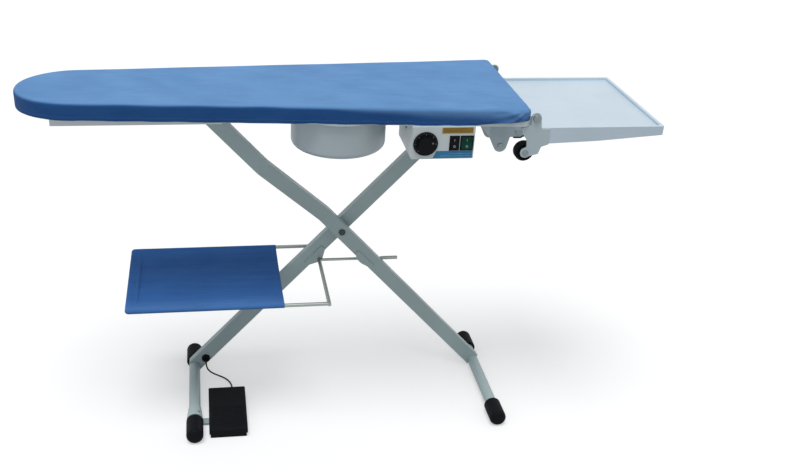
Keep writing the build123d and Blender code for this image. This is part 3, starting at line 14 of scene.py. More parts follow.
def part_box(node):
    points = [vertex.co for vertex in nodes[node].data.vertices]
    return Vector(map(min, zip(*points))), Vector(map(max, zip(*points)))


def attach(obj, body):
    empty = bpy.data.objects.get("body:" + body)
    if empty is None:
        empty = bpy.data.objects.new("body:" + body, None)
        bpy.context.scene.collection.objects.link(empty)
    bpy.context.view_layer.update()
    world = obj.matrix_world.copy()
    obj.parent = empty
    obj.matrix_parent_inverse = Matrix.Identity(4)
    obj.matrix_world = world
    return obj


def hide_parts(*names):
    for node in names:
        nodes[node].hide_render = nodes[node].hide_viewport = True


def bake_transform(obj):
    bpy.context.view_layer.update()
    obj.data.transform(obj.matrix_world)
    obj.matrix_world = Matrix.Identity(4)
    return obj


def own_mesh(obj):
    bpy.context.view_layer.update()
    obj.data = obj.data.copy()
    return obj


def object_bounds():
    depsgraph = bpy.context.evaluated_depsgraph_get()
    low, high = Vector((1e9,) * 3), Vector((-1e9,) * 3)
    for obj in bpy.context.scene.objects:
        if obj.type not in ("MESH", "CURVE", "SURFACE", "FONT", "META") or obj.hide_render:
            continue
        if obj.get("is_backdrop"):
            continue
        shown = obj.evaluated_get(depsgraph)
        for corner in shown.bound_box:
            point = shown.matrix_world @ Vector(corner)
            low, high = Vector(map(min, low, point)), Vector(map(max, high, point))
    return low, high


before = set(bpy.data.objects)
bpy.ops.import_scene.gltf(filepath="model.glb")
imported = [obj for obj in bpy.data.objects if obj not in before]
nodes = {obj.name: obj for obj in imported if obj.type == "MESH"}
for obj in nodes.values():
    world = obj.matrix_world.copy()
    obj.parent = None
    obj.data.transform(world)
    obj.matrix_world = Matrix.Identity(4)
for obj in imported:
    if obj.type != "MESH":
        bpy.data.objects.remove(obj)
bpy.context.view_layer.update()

# %% [markdown]
# ## The camera
# The photograph looks down on the table from the side of the controls, turned a little towards the
# nose. Its place was worked out from the straight edges of the board and the legs. A small shift moves
# the table to the left of the picture, as there, without turning the camera.

# %% Camera
YAW, PITCH, ROLL = radians(9.80), radians(27.57), radians(2.82)
CAMERA_PLACE = (-0.3257, -2.257, 1.6848)
forward = Vector((sin(YAW) * cos(PITCH), cos(YAW) * cos(PITCH), -sin(PITCH)))
level = Vector((cos(YAW), -sin(YAW), 0))
upward = level.cross(forward)
across = level * cos(ROLL) + upward * sin(ROLL)
above = upward * cos(ROLL) - level * sin(ROLL)
camera = bpy.data.objects.new("camera", bpy.data.cameras.new("camera"))
bpy.context.scene.collection.objects.link(camera)
aim = Matrix((across, above, -forward)).transposed().to_4x4()
camera.matrix_world = Matrix.Translation(CAMERA_PLACE) @ aim
camera.data.lens = 43.47
camera.data.shift_x = 0.0539
camera.data.shift_y = 0.0029
camera.data.clip_end = 60
bpy.context.scene.camera = camera
print("camera", [round(v, 3) for v in camera.location])

# %% [markdown]
# ## Small helpers
# A piece is a mesh whose points are already in place, so its object stays at the origin. Most shapes
# here are rows of points with a skin of faces between them, so one helper makes the skin. Others clean
# a mesh, work out what a curve or a modifier gives, and settle a piece on its body.


# %% Helpers for pieces
def link(obj):
    bpy.context.scene.collection.objects.link(obj)
    return obj


def mesh_piece(name, points, faces, smooth=True):
    """A new mesh object from points in metres and faces of point numbers."""
    mesh = bpy.data.meshes.new(name)
    mesh.from_pydata([tuple(p) for p in points], [], faces)
    mesh.validate()
    mesh.update()
    if smooth:
        mesh.shade_smooth()
    return link(bpy.data.objects.new(name, mesh))


def numbered(count, size):
    """Rows of point numbers that follow one another."""
    return [range(row * size, (row + 1) * size) for row in range(count)]


def skin(rows, around=False):
    """Faces between each row of point numbers and the next. `around` closes the rows."""
    faces = []
    for low, high in zip(rows, rows[1:]):
        if around:
            low, high = [*low, low[0]], [*high, high[0]]
        faces += zip(low, low[1:], high[1:], high)
    return faces


def outward(obj, merge=1e-6, least=None, face_up=False):
    """Merge doubles, drop faces without size and turn the rest outwards, or a sheet face up."""
    work = bmesh.new()
    work.from_mesh(obj.data)
    bmesh.ops.remove_doubles(work, verts=work.verts, dist=merge)
    if least:
        bmesh.ops.dissolve_degenerate(work, dist=least, edges=work.edges)
    bmesh.ops.recalc_face_normals(work, faces=work.faces)
    if face_up and sum(f.normal.z * f.calc_area() for f in work.faces) < 0:
        bmesh.ops.reverse_faces(work, faces=work.faces)
    work.to_mesh(obj.data)
    work.free()
    return obj


def evaluated_mesh(obj):
    """What a curve, a text or an object with modifiers comes to as a mesh."""
    bpy.context.view_layer.update()
    graph = bpy.context.evaluated_depsgraph_get()
    return bpy.data.meshes.new_from_object(obj.evaluated_get(graph))


def guide_curve(name, points, kind="POLY", closed=False):
    """A curve along points, for a cord or a row of stitches to follow."""
    data = bpy.data.curves.new(name, "CURVE")
    data.dimensions = "3D"
    spline = data.splines.new(kind)
    spline.points.add(len(points) - 1)
    for point, place in zip(spline.points, points):
        point.co = (*place, 1)
    spline.use_cyclic_u = closed
    return link(bpy.data.objects.new(name, data))


def settle(piece, body, material=None):
    """Give a piece its material and the body it moves with."""
    if material:
        piece.data.materials.append(material)
    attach(piece, body)
    return piece


def dress(material, names):
    """Give a material to the model parts that are named in a line."""
    for name in names.split():
        for face_slot in nodes[name].material_slots:
            face_slot.material = material
    return material


# %% [markdown]
# ## Node trees
# Light, finishes and small repeats are all node trees. This class keeps their code short: a node is
# made with its settings by name, and a setting may be another node, which then feeds that input.


# %% Node trees
class NodeTree:
    """A node tree with short ways to add nodes and sums."""

    def __init__(self, tree):
        self.tree = tree

    def feed(self, socket, value):
        """Set an input to a value, or join it to a socket or to the first output of a node."""
        if isinstance(value, bpy.types.Node):
            value = value.outputs[0]
        if isinstance(value, bpy.types.NodeSocket):
            self.tree.links.new(value, socket)
        elif value is not None:
            socket.default_value = value

    def node(self, kind, **settings):
        """A new node. Each setting is one of its properties or what feeds one of its inputs."""
        made = self.tree.nodes.new(kind)
        for key, value in settings.items():
            if hasattr(made, key):
                setattr(made, key, value)
            else:
                self.feed(made.inputs[key.replace("_", " ")], value)
        return made

    def math(self, operation, first, second=None, clamp=False):
        made = self.node("ShaderNodeMath", operation=operation, use_clamp=clamp)
        self.feed(made.inputs[0], first)
        self.feed(made.inputs[1], second)
        return made.outputs["Value"]


# %% [markdown]
# ## The pedal cord
# A thin round lead leaves a rubber grommet near the foot of the nose leg, drops down in front of the
# tube and runs over the floor into the pedal. A NURBS curve gives the soft line of a real lead, because
# it bends all along its length and never at a point. Its control points are the route of the model.
# The curve is then made a mesh.

# %% Cord curve
CORD_RADIUS = 0.0022
CORD_ROUTE = [
    (-0.34935, 0.1089, 0.04986),
    (-0.34935, 0.0964, 0.04986),
    (-0.34795, 0.0869, 0.04066),
    (-0.3444, 0.0866, 0.0290),
    (-0.3368, 0.0884, 0.0188),
    (-0.3268, 0.0900, 0.0100),
    (-0.3142, 0.0880, 0.0046),
    (-0.3008, 0.0806, 0.0026),
    (-0.2892, 0.0680, 0.0023),
    (-0.2818, 0.0532, 0.0026),
    (-0.2782, 0.0373, 0.0040),
    (-0.2775, 0.0205, 0.0075),
    (-0.2775, 0.0035, 0.0075),
]
cord_guide = guide_curve("cord_guide", CORD_ROUTE, "NURBS")
cord_spline = cord_guide.data.splines[0]
cord_spline.order_u = 3
cord_spline.use_endpoint_u = True
cord_spline.resolution_u = 8
cord_line = [tuple(vertex.co) for vertex in evaluated_mesh(cord_guide).vertices]
cord_guide.data.bevel_depth = CORD_RADIUS
cord_guide.data.bevel_resolution = 4
cord_guide.data.use_fill_caps = True
pedal_cord = link(bpy.data.objects.new("cord", evaluated_mesh(cord_guide)))
pedal_cord.data.shade_smooth()
bpy.data.objects.remove(cord_guide)
outward(pedal_cord)
print("cord", len(CORD_ROUTE), "points,", len(cord_line), "along its line")

# %% [markdown]
# ## Floor, backdrop and light
# A catalogue picture is lit from above by a large soft source, on a pale floor that throws light back
# up. Two broad suns and an even sky do that without hot spots. The floor is white to the camera and to
# polished metal, and keeps the soft shadow, so the table stands on something.


# %% Studio
def show_backdrop(work, plain, backdrop, output):
    """End a tree with one shader for the light, and another for camera, mirror and glass rays."""
    rays = work.node("ShaderNodeLightPath").outputs
    seen = work.math("ADD", rays["Is Camera Ray"], rays["Is Glossy Ray"], clamp=True)
    seen = work.math("ADD", seen, rays["Is Transmission Ray"], clamp=True)
    chosen = work.node("ShaderNodeMixShader", Fac=seen)
    work.feed(chosen.inputs[1], plain)
    work.feed(chosen.inputs[2], backdrop)
    work.feed(work.tree.nodes[output].inputs["Surface"], chosen)


SKY_LEVEL, FLOOR_GLOW, FLOOR_REACH = 0.45, 0.46, 30
world = bpy.data.worlds.new("studio")
bpy.context.scene.world = world
world.use_nodes = True
sky = NodeTree(world.node_tree)
ambient = sky.tree.nodes["Background"]
ambient.inputs["Color"].default_value = (0.96, 0.98, 1.0, 1)
ambient.inputs["Strength"].default_value = SKY_LEVEL
white = sky.node("ShaderNodeBackground", Color=(1, 1, 1, 1), Strength=1.0)
show_backdrop(sky, ambient, white, "World Output")


def sun(name, strength, angle, direction):
    """A soft sun that shines along a direction."""
    lamp = bpy.data.lights.new(name, "SUN")
    lamp.energy = strength
    lamp.angle = radians(angle)
    obj = link(bpy.data.objects.new(name, lamp))
    obj.rotation_euler = Vector(direction).to_track_quat("-Z", "Y").to_euler()


sun("key", 1.55, 30, (0.12, 0.22, -1.0))
sun("fill", 0.16, 60, (0.45, 0.8, -0.45))

corners = [(x * FLOOR_REACH, y * FLOOR_REACH, 0) for x, y in ((-1, -1), (1, -1), (1, 1), (-1, 1))]
floor = mesh_piece("floor", corners, [(0, 1, 2, 3)], smooth=False)
floor_material = bpy.data.materials.new("studio_floor")
floor_material.use_nodes = True
ground = NodeTree(floor_material.node_tree)
ground.tree.nodes.remove(ground.tree.nodes["Principled BSDF"])
matt = ground.node("ShaderNodeBsdfDiffuse", Color=(0.36, 0.37, 0.38, 1))
paper = ground.node("ShaderNodeBsdfDiffuse", Color=(0.62, 0.62, 0.62, 1))
lift = ground.node("ShaderNodeEmission", Color=(1, 1, 1, 1), Strength=FLOOR_GLOW)
both = ground.node("ShaderNodeAddShader")
ground.feed(both.inputs[0], paper)
ground.feed(both.inputs[1], lift)
show_backdrop(ground, matt, both, "Material Output")
floor.data.materials.append(floor_material)
floor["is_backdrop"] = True
bpy.context.scene.view_settings.view_transform = "Standard"

# %% [markdown]
# ## Materials
# Every finish is built from nodes that read the place on the object, so a pattern keeps its size on
# every piece. Colours are written as they look on paper, from 0 to 255, and turned into linear light.
# Small changes of colour and roughness over the surface, and a shallow bump, are what keep paint,
# plastic and cloth from looking like one flat colour. Each recipe is also told which of the model's
# parts wear it, so a finish and its parts stand on one line.


# %% A class for finishes
def tone(red, green, blue):
    """A screen colour as linear light."""
    parts = [c / 255 for c in (red, green, blue)]
    return tuple(c / 12.92 if c <= 0.04045 else ((c + 0.055) / 1.055) ** 2.4 for c in parts) + (1,)


def shade(colour, factor):
    """A linear colour made lighter or darker."""
    return tuple(min(1, c * factor) for c in colour[:3]) + (1,)


class Finish(NodeTree):
    """A material with short ways to add noise, colours, roughness and bumps."""

    def __init__(self, name, colour, roughness, metallic=0.0, specular=0.5):
        self.base = tone(*colour)
        self.material = bpy.data.materials.new(name)
        self.material.use_nodes = True
        self.material.diffuse_color = self.base
        super().__init__(self.material.node_tree)
        self.inputs = self.tree.nodes["Principled BSDF"].inputs
        self.inputs["Base Color"].default_value = self.base
        self.inputs["Roughness"].default_value = roughness
        self.inputs["Metallic"].default_value = metallic
        self.inputs["Specular IOR Level"].default_value = specular
        self.place = self.node("ShaderNodeTexCoord").outputs["Object"]
        self.relief = None

    def noise(self, scale, detail=3, stretch=None, roughness=0.55):
        place = self.place
        if stretch:
            place = self.node("ShaderNodeMapping", Scale=stretch, Vector=place)
        return self.node(
            "ShaderNodeTexNoise", Scale=scale, Detail=detail, Roughness=roughness, Vector=place
        ).outputs["Fac"]

    def ramp(self, source, *stops):
        """A colour ramp through (position, colour) stops."""
        made = self.node("ShaderNodeValToRGB", Fac=source)
        for element, (position, colour) in zip(made.color_ramp.elements, stops):
            element.position = position
            element.color = colour
        return made.outputs["Color"]

    def tint(self, source, *stops):
        """Let the base colour follow a source through (position, colour) stops."""
        self.feed(self.inputs["Base Color"], self.ramp(source, *stops))

    def mottle(self, source, darker, lighter, start=0.3, end=0.7):
        """Let the base colour go from a darker to a lighter shade with a source."""
        self.tint(source, (start, shade(self.base, darker)), (end, shade(self.base, lighter)))

    def rough(self, source, low, high):
        """Let the roughness change with a source."""
        levels = self.node("ShaderNodeMapRange", Value=source, From_Min=0.3, From_Max=0.7)
        self.feed(levels.inputs["To Min"], low)
        self.feed(levels.inputs["To Max"], high)
        self.feed(self.inputs["Roughness"], levels)

    def bump(self, source, depth, strength=1.0):
        """A bump of a real depth in metres, laid over the ones before."""
        made = self.node("ShaderNodeBump", Strength=strength, Distance=depth, Height=source)
        self.feed(made.inputs["Normal"], self.relief)
        self.relief = made.outputs["Normal"]
        self.feed(self.inputs["Normal"], self.relief)


# %% [markdown]
# Powder paint is a fused skin of plastic. It has a fine orange peel, a soft gloss that changes a little
# from place to place, and a trace of dust in its colour. One recipe in several colours serves the legs,
# the tray, the fan drum and the control box, as it would in a paint shop.


# %% Painted metal
def powder_paint(name, colour, worn_by, roughness=0.42):
    paint = Finish(name, colour, roughness)
    paint.mottle(paint.noise(5.0, 4), 0.95, 1.04)
    paint.rough(paint.noise(14.0, 3), roughness - 0.06, roughness + 0.08)
    paint.bump(paint.noise(650.0, 2), 0.00006, 0.5)
    return dress(paint.material, worn_by)


LEG_PARTS = "nose_leg_beam tail_leg_beam nose_foot_bar tail_foot_bar shelf_gusset stay_gusset pedal_collar"
powder_paint("leg_paint", (170, 189, 190), LEG_PARTS)
powder_paint("bracket_paint", (186, 202, 208), "leg_bracket tail_bracket tray_lugs tray_ears")
powder_paint("box_paint", (196, 208, 212), "vacuum_box")
powder_paint("drum_paint", (183, 197, 203), "fan_housing", 0.34)
powder_paint("case_paint", (210, 220, 222), "control_box control_panel", 0.4)
powder_paint("tray_paint", (204, 221, 233), "tray_pan", 0.36)
powder_paint("rail_paint", (236, 241, 243), "slide_rail", 0.4)
powder_paint("motor_paint", (52, 54, 58), "fan_motor", 0.45)
print("paints", len(bpy.data.materials))

# %% [markdown]
# Plated and bare metal mirrors its surroundings, so its look comes from roughness more than from
# colour. Long soft streaks follow the length of drawn wire and rolled sheet.


# %% Bare metal
def plated(name, colour, roughness, worn_by="", streak=(2.0, 60.0, 60.0)):
    metal = Finish(name, colour, roughness, metallic=1.0)
    streaks = metal.noise(6.0, 4, stretch=streak)
    metal.rough(streaks, roughness - 0.07, roughness + 0.1)
    metal.mottle(streaks, 0.9, 1.05)
    metal.bump(metal.noise(220.0, 2), 0.00003, 0.4)
    return dress(metal.material, worn_by)


EVEN_STREAK = (20.0, 20.0, 20.0)
BOLTS = "leg_bracket_pin slider_pin bracket_tie_bolts tray_hinge_bolts wheel_axles"
BRIGHT_PARTS = "motor_shaft stay_stop pedal_pin pedal_spring"
plated("zinc", (176, 182, 184), 0.45, "perforated_plate")
bolt_steel = plated("bolt_steel", (126, 136, 138), 0.42, BOLTS, EVEN_STREAK)
bright_steel = plated("bright_steel", (205, 207, 208), 0.25, BRIGHT_PARTS)
plated("rod_plating", (150, 157, 153), 0.42, "shelf_frame stay_bar stay_sleeve", (3.0, 30.0, 30.0))
plated("dark_steel", (60, 66, 70), 0.45, "crossing_bolt", EVEN_STREAK)
plated("cast_aluminium", (205, 207, 210), 0.5, "fan_impeller", (12.0, 12.0, 12.0))
plated("heated_steel", (120, 108, 98), 0.5, "heating_element")

# %% [markdown]
# Moulded plastic and rubber are nearly black here. Real black is never zero: it lifts a little at dusty
# places, and a spark-eroded mould leaves a fine grain that breaks up the highlights.


# %% Plastic and rubber
def moulded(name, colour, roughness, worn_by="", grain=900.0, depth=0.00008):
    plastic = Finish(name, colour, roughness, specular=0.08)
    dust = plastic.noise(9.0, 5)
    plastic.mottle(dust, 1.0, 1.7, start=0.35, end=0.75)
    plastic.rough(dust, roughness - 0.05, roughness + 0.1)
    plastic.bump(plastic.noise(grain, 2), depth, 0.6)
    return dress(plastic.material, worn_by)


BLACK_PARTS = (
    "thermostat_body thermostat_knob switch_housings black_rocker mains_gland "
    "slider_block clamp_knob crossing_bush pedal_switch pedal_gland"
)
RUBBER_PARTS = "near_wheel far_wheel nose_foot_caps tail_foot_caps rest_pads cord_grommet"
moulded("black_plastic", (12, 14, 18), 0.42, BLACK_PARTS)
pedal_plastic = moulded("pedal_plastic", (10, 12, 16), 0.5, "pedal_base pedal_cover", 700.0, 0.00012)
rubber = moulded("rubber", (12, 14, 18), 0.6, RUBBER_PARTS, 420.0, 0.00012)
moulded("green_plastic", (7, 50, 40), 0.3, "green_rocker")
cord_skin = moulded("cord_skin", (14, 15, 18), 0.45, grain=1200.0, depth=0.00003)

# %% [markdown]
# The lead gets its finish, its points are set where they stand, and the model's own lead is hidden.

# %% The finish of the cord
pedal_cord.data.materials.append(cord_skin)
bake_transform(pedal_cord)
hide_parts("pedal_cord")
print("finishes", len(bpy.data.materials))

# %% [markdown]
# ## Cloth stretched over a frame
# The cover and the shelf are the same kind of thing: a sheet held tight inside a border that curves
# down or round a rod. Both are made as rings that follow the border inwards, then ribs that run across
# from side to side. That keeps the faces square to the border, so hems and folds stay crisp.


# %% Ring and rib sheet
def ribbed_sheet(name, rings, flank, columns, lift=None, closed=False):
    """Faces between rings, then ribs across the last ring, and across the first one of a closed pad.

    A ring runs along one flank, across the closed end in `columns` steps, and back along the other
    flank. `lift` gives how far a point of the ribs is raised, from its shares across and along.
    """
    points = [p for ring in rings for p in ring]
    size = len(rings[0])
    faces = skin(numbered(len(rings), size))
    ends = [((len(rings) - 1) * size, rings[-1], lift)]
    if closed:
        ends.append((0, rings[0], None))
    for base, ring, raised in ends:
        rows = []
        for i in range(flank):
            start, end = Vector(ring[i]), Vector(ring[size - 1 - i])
            row = [base + i]
            for k in range(1, columns):
                place = start.lerp(end, k / columns)
                if raised:
                    place.z += raised(k / columns, i / flank)
                row.append(len(points))
                points.append(tuple(place))
            rows.append([*row, base + size - 1 - i])
        rows.append([base + flank + k for k in range(columns + 1)])
        faces += skin(rows)
    return outward(mesh_piece(name, points, faces), merge=1e-5, least=1e-6, face_up=not closed)


def smooth_step(value, low, high):
    share = min(1.0, max(0.0, (value - low) / (high - low)))
    return share * share * (3 - 2 * share)


# %% [markdown]
# ## The outline of the board
# Cover and felt share the plan of the board: a half ellipse at the nose, two straight flanks that widen
# towards the tail, and a straight tail edge with small round corners. Moving that outline inwards gives
# every ring of the cloth, so one function serves them all. Points stand closer near the tail, where
# the cloth has its folds.

# %% Board outline
cover_low, cover_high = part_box("cotton_cover")
BOARD_TOP, BOARD_UNDER = cover_high.z, cover_low.z
TAIL_X, TAIL_HALF = cover_high.x, cover_high.y
NOSE_HALF, NOSE_LENGTH = 0.125, 0.146
NOSE_X = cover_low.x + NOSE_LENGTH
CORNER_RADIUS, LEAST_RADIUS = 0.016, 0.0005
NOSE_STEPS, FLANK_STEPS, CORNER_STEPS, TAIL_STEPS = 26, 84, 8, 44
FLANK_POINTS = NOSE_STEPS + FLANK_STEPS + CORNER_STEPS
CROWDING = 1.5


def board_ring(inset):
    """Plan of the board moved inwards, from the nose tip along the near flank and back along the far."""
    half = NOSE_HALF - inset
    near = []
    for k in range(NOSE_STEPS):
        angle = pi / 2 * k / NOSE_STEPS
        near.append((NOSE_X - (NOSE_LENGTH - inset) * cos(angle), half * sin(angle)))
    start = Vector((NOSE_X, half))
    end = Vector((TAIL_X - inset, TAIL_HALF - inset))
    lean = atan2(end.y - start.y, end.x - start.x)
    radius = max(CORNER_RADIUS - inset, LEAST_RADIUS)
    centre = Vector((end.x - radius, 0))
    centre.y = start.y + (centre.x - start.x) * sin(lean) / cos(lean) - radius / cos(lean)
    stop = centre + radius * Vector((-sin(lean), cos(lean)))
    for k in range(FLANK_STEPS):
        near.append(tuple(start.lerp(stop, 1 - (1 - k / FLANK_STEPS) ** CROWDING)))
    for k in range(CORNER_STEPS + 1):
        angle = (pi / 2 + lean) * (1 - k / CORNER_STEPS)
        near.append((centre.x + radius * cos(angle), centre.y + radius * sin(angle)))
    tail_y = near[-1][1]
    across = [(TAIL_X - inset, tail_y * (2 * k / TAIL_STEPS - 1)) for k in range(1, TAIL_STEPS)]
    return [(x, -y) for x, y in near] + across + list(reversed(near))


def level_ring(inset, z):
    return [(x, y, z) for x, y in board_ring(inset)]


def round_edge(turns, inset, radius, top):
    """Rings that turn from the side of the board over onto its top."""
    rings = []
    for turn in turns:
        angle = radians(turn)
        rings.append(level_ring(inset + radius * (1 - cos(angle)), top - radius * (1 - sin(angle))))
    return rings


def side_direction(x, y, along=0.0):
    """Where the side of the board faces: straight back at the tail, elsewhere sideways."""
    if x > TAIL_X - 0.012 and abs(y) < TAIL_HALF - 0.02:
        return Vector((1, 0, 0))
    return Vector((along, y, 0)).normalized()


print("outline", len(board_ring(0)), "points, flank", FLANK_POINTS)

# %% [markdown]
# ## The cotton cover
# A blue cotton cover is pulled over the felt and down over the edge of the steel box, where a hem with
# a cord inside grips it. It is a thin sheet, so it is built as rings: up from the hem, round the edge
# and a little way in over the top. Ribs then carry the cloth across. Near the controls the hem has
# crept up and shows the box, and slanting creases and small puckers run in at the tail corners.

# %% Cover shape
EDGE_RADIUS, COVER_THICKNESS, COVER_EASE = 0.009, 0.0010, 0.0012
HEM_LOW = BOARD_UNDER + 0.0008
HEM_RISE, HEM_RISE_FROM, HEM_RISE_RUN = 0.0145, 0.275, 0.155
CREASE_SLOPE, CREASE_LENGTH, CREASE_HEIGHT = radians(24), 0.015, 0.0026


def hem_height(x, y):
    """Height of the hem: it sits higher near the tail, where the fittings are."""
    rise = HEM_RISE * min(1.0, max(0.0, (x - HEM_RISE_FROM) / HEM_RISE_RUN))
    return HEM_LOW + rise + 0.0006 * sin(x * 61 + 2 * y) + 0.0004 * sin(x * 143)


def crease(x, y, z):
    """Slanting folds of slack cloth at the tail corners, from 0 in a valley to 1 on a ridge."""
    reach = smooth_step(x, 0.325, 0.37) * (1 - smooth_step(x, 0.40, 0.422))
    reach *= smooth_step(abs(y), 0.12, 0.18) * smooth_step(BOARD_TOP - z, 0.002, 0.010)
    run = (z - BOARD_TOP) * cos(CREASE_SLOPE) - x * sin(CREASE_SLOPE)
    return reach * (0.5 + 0.5 * sin(2 * pi * run / CREASE_LENGTH + 2 * sin(x * 70)))


def pucker(x, y, z):
    """How far the cloth of the side stands in or out."""
    depth = smooth_step(BOARD_TOP - z, 0.004, 0.036)
    soft = 0.0005 * sin(x * 37 + 1.3) + 0.0004 * sin(x * 83) + 0.0003 * sin(y * 55)
    corner = smooth_step(x, 0.31, 0.39) * smooth_step(abs(y), 0.12, 0.185)
    corner *= 1 - smooth_step(x, 0.40, 0.424)
    broad = corner * 0.0012 * (1 + sin(x * 128 + z * 260 + 1.5 * sin(x * 60)))
    return depth * soft + broad + CREASE_HEIGHT * crease(x, y, z)


def cover_crown(x, y):
    """Height of the top above its edge: a slight crown, and slack near the tail corner."""
    corner = smooth_step(x, 0.28, 0.42) * smooth_step(-y, 0.05, 0.185)
    slack = 0.0009 * corner * sin(x * 95 + y * 170) + 0.0004 * corner * sin(x * 210 - y * 90)
    broad = 0.00035 * sin(x * 9 + 0.6) * cos(y * 14) + 0.0002 * sin(x * 23 + y * 31)
    return slack + broad


rings = []
for share in (0, 0.1, 0.22, 0.36, 0.5, 0.64, 0.78, 0.9, 1.0):
    ring = []
    for x, y in board_ring(COVER_EASE):
        low = hem_height(x, y)
        ring.append((x, y, low + (BOARD_TOP - EDGE_RADIUS - low) * share))
    rings.append(ring)
rings += round_edge((15, 30, 45, 60, 75, 90), COVER_EASE, EDGE_RADIUS, BOARD_TOP)
rings += [level_ring(inset, BOARD_TOP) for inset in (0.0145, 0.019, 0.025, 0.032, 0.040, 0.050)]
cover = ribbed_sheet("cotton_cover_cloth", rings, FLANK_POINTS, TAIL_STEPS)
# Painted shade and highlight: the side below the edge is coloured a darker blue, fading in more slowly
# towards the tail, and the crease ridges are coloured lighter.
band = cover.data.attributes.new("side", "FLOAT", "POINT")
for vertex, value in zip(cover.data.vertices, band.data):
    x, y, z = vertex.co
    fade = 0.006 + 0.030 * smooth_step(x, -0.15, 0.36)
    value.value = smooth_step(BOARD_TOP - z, 0.0004, fade + 0.001 * sin(x * 40))
    value.value *= 1 - 0.45 * crease(x, y, z)
    if z < BOARD_TOP - 0.001:
        vertex.co += side_direction(x, y) * pucker(x, y, z)
    vertex.co.z += cover_crown(x, y) * smooth_step(z, BOARD_TOP - 0.012, BOARD_TOP)
print("cover", len(cover.data.vertices), "points")

# %% [markdown]
# A sheet only looks like cloth when its edge has a thickness and a double-turned hem. Solidify gives the
# thickness inwards, and one level of subdivision rounds what is left of the facets.


# %% Cloth finishing
def thicken(obj, thickness, offset=-1.0):
    """Turn a single sheet of faces into cloth with a real thickness, and return the sheet's area."""
    area = sum(face.area for face in obj.data.polygons)
    solid = obj.modifiers.new("thickness", "SOLIDIFY")
    solid.thickness = thickness
    solid.offset = offset
    soft = obj.modifiers.new("soft", "SUBSURF")
    soft.levels = soft.render_levels = 1
    mesh = evaluated_mesh(obj)
    obj.modifiers.clear()
    obj.data = mesh
    return area


cover_area = thicken(cover, COVER_THICKNESS)
print("cover area", round(cover_area, 3), "faces", len(cover.data.polygons))

# %% [markdown]
# Cotton drill is a fine twill. At arm's length it is a matt, slightly uneven blue: threads differ in
# shade, the yarn gives a soft sheen at a flat angle, and hands and irons leave cloudy patches. The side
# below the edge is in shadow, so it is a darker blue.

# %% Cotton
THREAD = 0.00055


def woven(name, colour, attribute, *pairs):
    """A matt cloth with threads along X, Y and Z. An attribute mixes two pairs of shades."""
    cloth = Finish(name, colour, 0.85, specular=0.12)
    cloth.inputs["Sheen Weight"].default_value = 0.08
    cloth.inputs["Sheen Roughness"].default_value = 0.5
    bands = []
    for axis in ("X", "Y", "Z"):
        wave = cloth.node(
            "ShaderNodeTexWave", wave_type="BANDS", bands_direction=axis, Scale=0.314 / THREAD,
            Distortion=0.6, Detail=1.0, Vector=cloth.place,
        )
        bands.append(wave.outputs["Fac"])
    weave = cloth.math("MULTIPLY", cloth.math("ADD", bands[0], bands[1]), bands[2])
    cloth.bump(cloth.math("ADD", weave, cloth.noise(1 / (3 * THREAD), 2)), THREAD * 0.35, 0.5)
    cloth.bump(cloth.noise(28.0, 4), 0.0006, 0.5)
    cloud = cloth.math("MULTIPLY", cloth.noise(7.0, 5), 0.6)
    slub = cloth.math("MULTIPLY", cloth.noise(90.0, 2, stretch=(0.15, 1.0, 1.0)), 0.4)
    variation = cloth.math("ADD", cloud, slub)
    mixed = cloth.node("ShaderNodeMix", data_type="RGBA")
    share = cloth.node("ShaderNodeAttribute", attribute_name=attribute)
    cloth.feed(mixed.inputs["Factor"], share.outputs["Fac"])
    for socket, (darker, lighter) in zip(mixed.inputs[6:8], pairs):
        cloth.feed(socket, cloth.ramp(variation, (0.32, tone(*darker)), (0.68, tone(*lighter))))
    cloth.feed(cloth.inputs["Base Color"], mixed.outputs[2])
    return cloth.material


TOP_SHADES, SIDE_SHADES = ((97, 145, 199), (112, 160, 212)), ((32, 80, 140), (43, 92, 154))
cotton = woven("blue_cotton", (104, 152, 205), "side", TOP_SHADES, SIDE_SHADES)
settle(cover, "board", cotton)
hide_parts("cotton_cover")
print("cotton on", cover.name)

# %% [markdown]
# A hem is held by a line of stitches a little above its edge. A stitch is tiny and there are hundreds,
# so Geometry Nodes lay one small rounded thread along a guide curve, at a set spacing. The same tree
# sews the shelf.


# %% Stitches
class ShapeTree(NodeTree):
    """A Geometry Nodes tree with named inputs, which ends in real copies with one material."""

    def __init__(self, name, **inputs):
        super().__init__(bpy.data.node_groups.new(name, "GeometryNodeTree"))
        kinds = {float: "Float", int: "Int", tuple: "Vector", type(None): "Object"}
        rows = [("Geometry", "Geometry", None)]
        rows += [(label, kinds[type(value)], value) for label, value in inputs.items()]
        for label, kind, value in rows + [("Finish", "Material", None)]:
            socket = self.tree.interface.new_socket(label, in_out="INPUT", socket_type="NodeSocket" + kind)
            if value is not None:
                socket.default_value = value
        self.tree.interface.new_socket("Geometry", in_out="OUTPUT", socket_type="NodeSocketGeometry")
        self.given = self.node("NodeGroupInput").outputs

    def end(self, shape, move=None):
        """Make copies real, move the whole if asked, set the material and hand it out."""
        shape = self.node("GeometryNodeRealizeInstances", Geometry=shape)
        if move:
            shape = self.node("GeometryNodeTransform", Geometry=shape, Translation=move)
        shape = self.node("GeometryNodeSetMaterial", Geometry=shape, Material=self.given["Finish"])
        self.node("NodeGroupOutput", Geometry=shape)

    def run(self, guide, **values):
        """Put the tree on a guide with its sizes, and keep the result as a plain mesh object."""
        step = guide.modifiers.new("nodes", "NODES")
        step.node_group = self.tree
        for item in self.tree.interface.items_tree:
            if item.item_type == "SOCKET" and item.in_out == "INPUT" and item.name in values:
                step[item.identifier] = values[item.name]
        made = link(bpy.data.objects.new(guide.name.replace("_guide", ""), evaluated_mesh(guide)))
        bpy.data.objects.remove(guide)
        return made


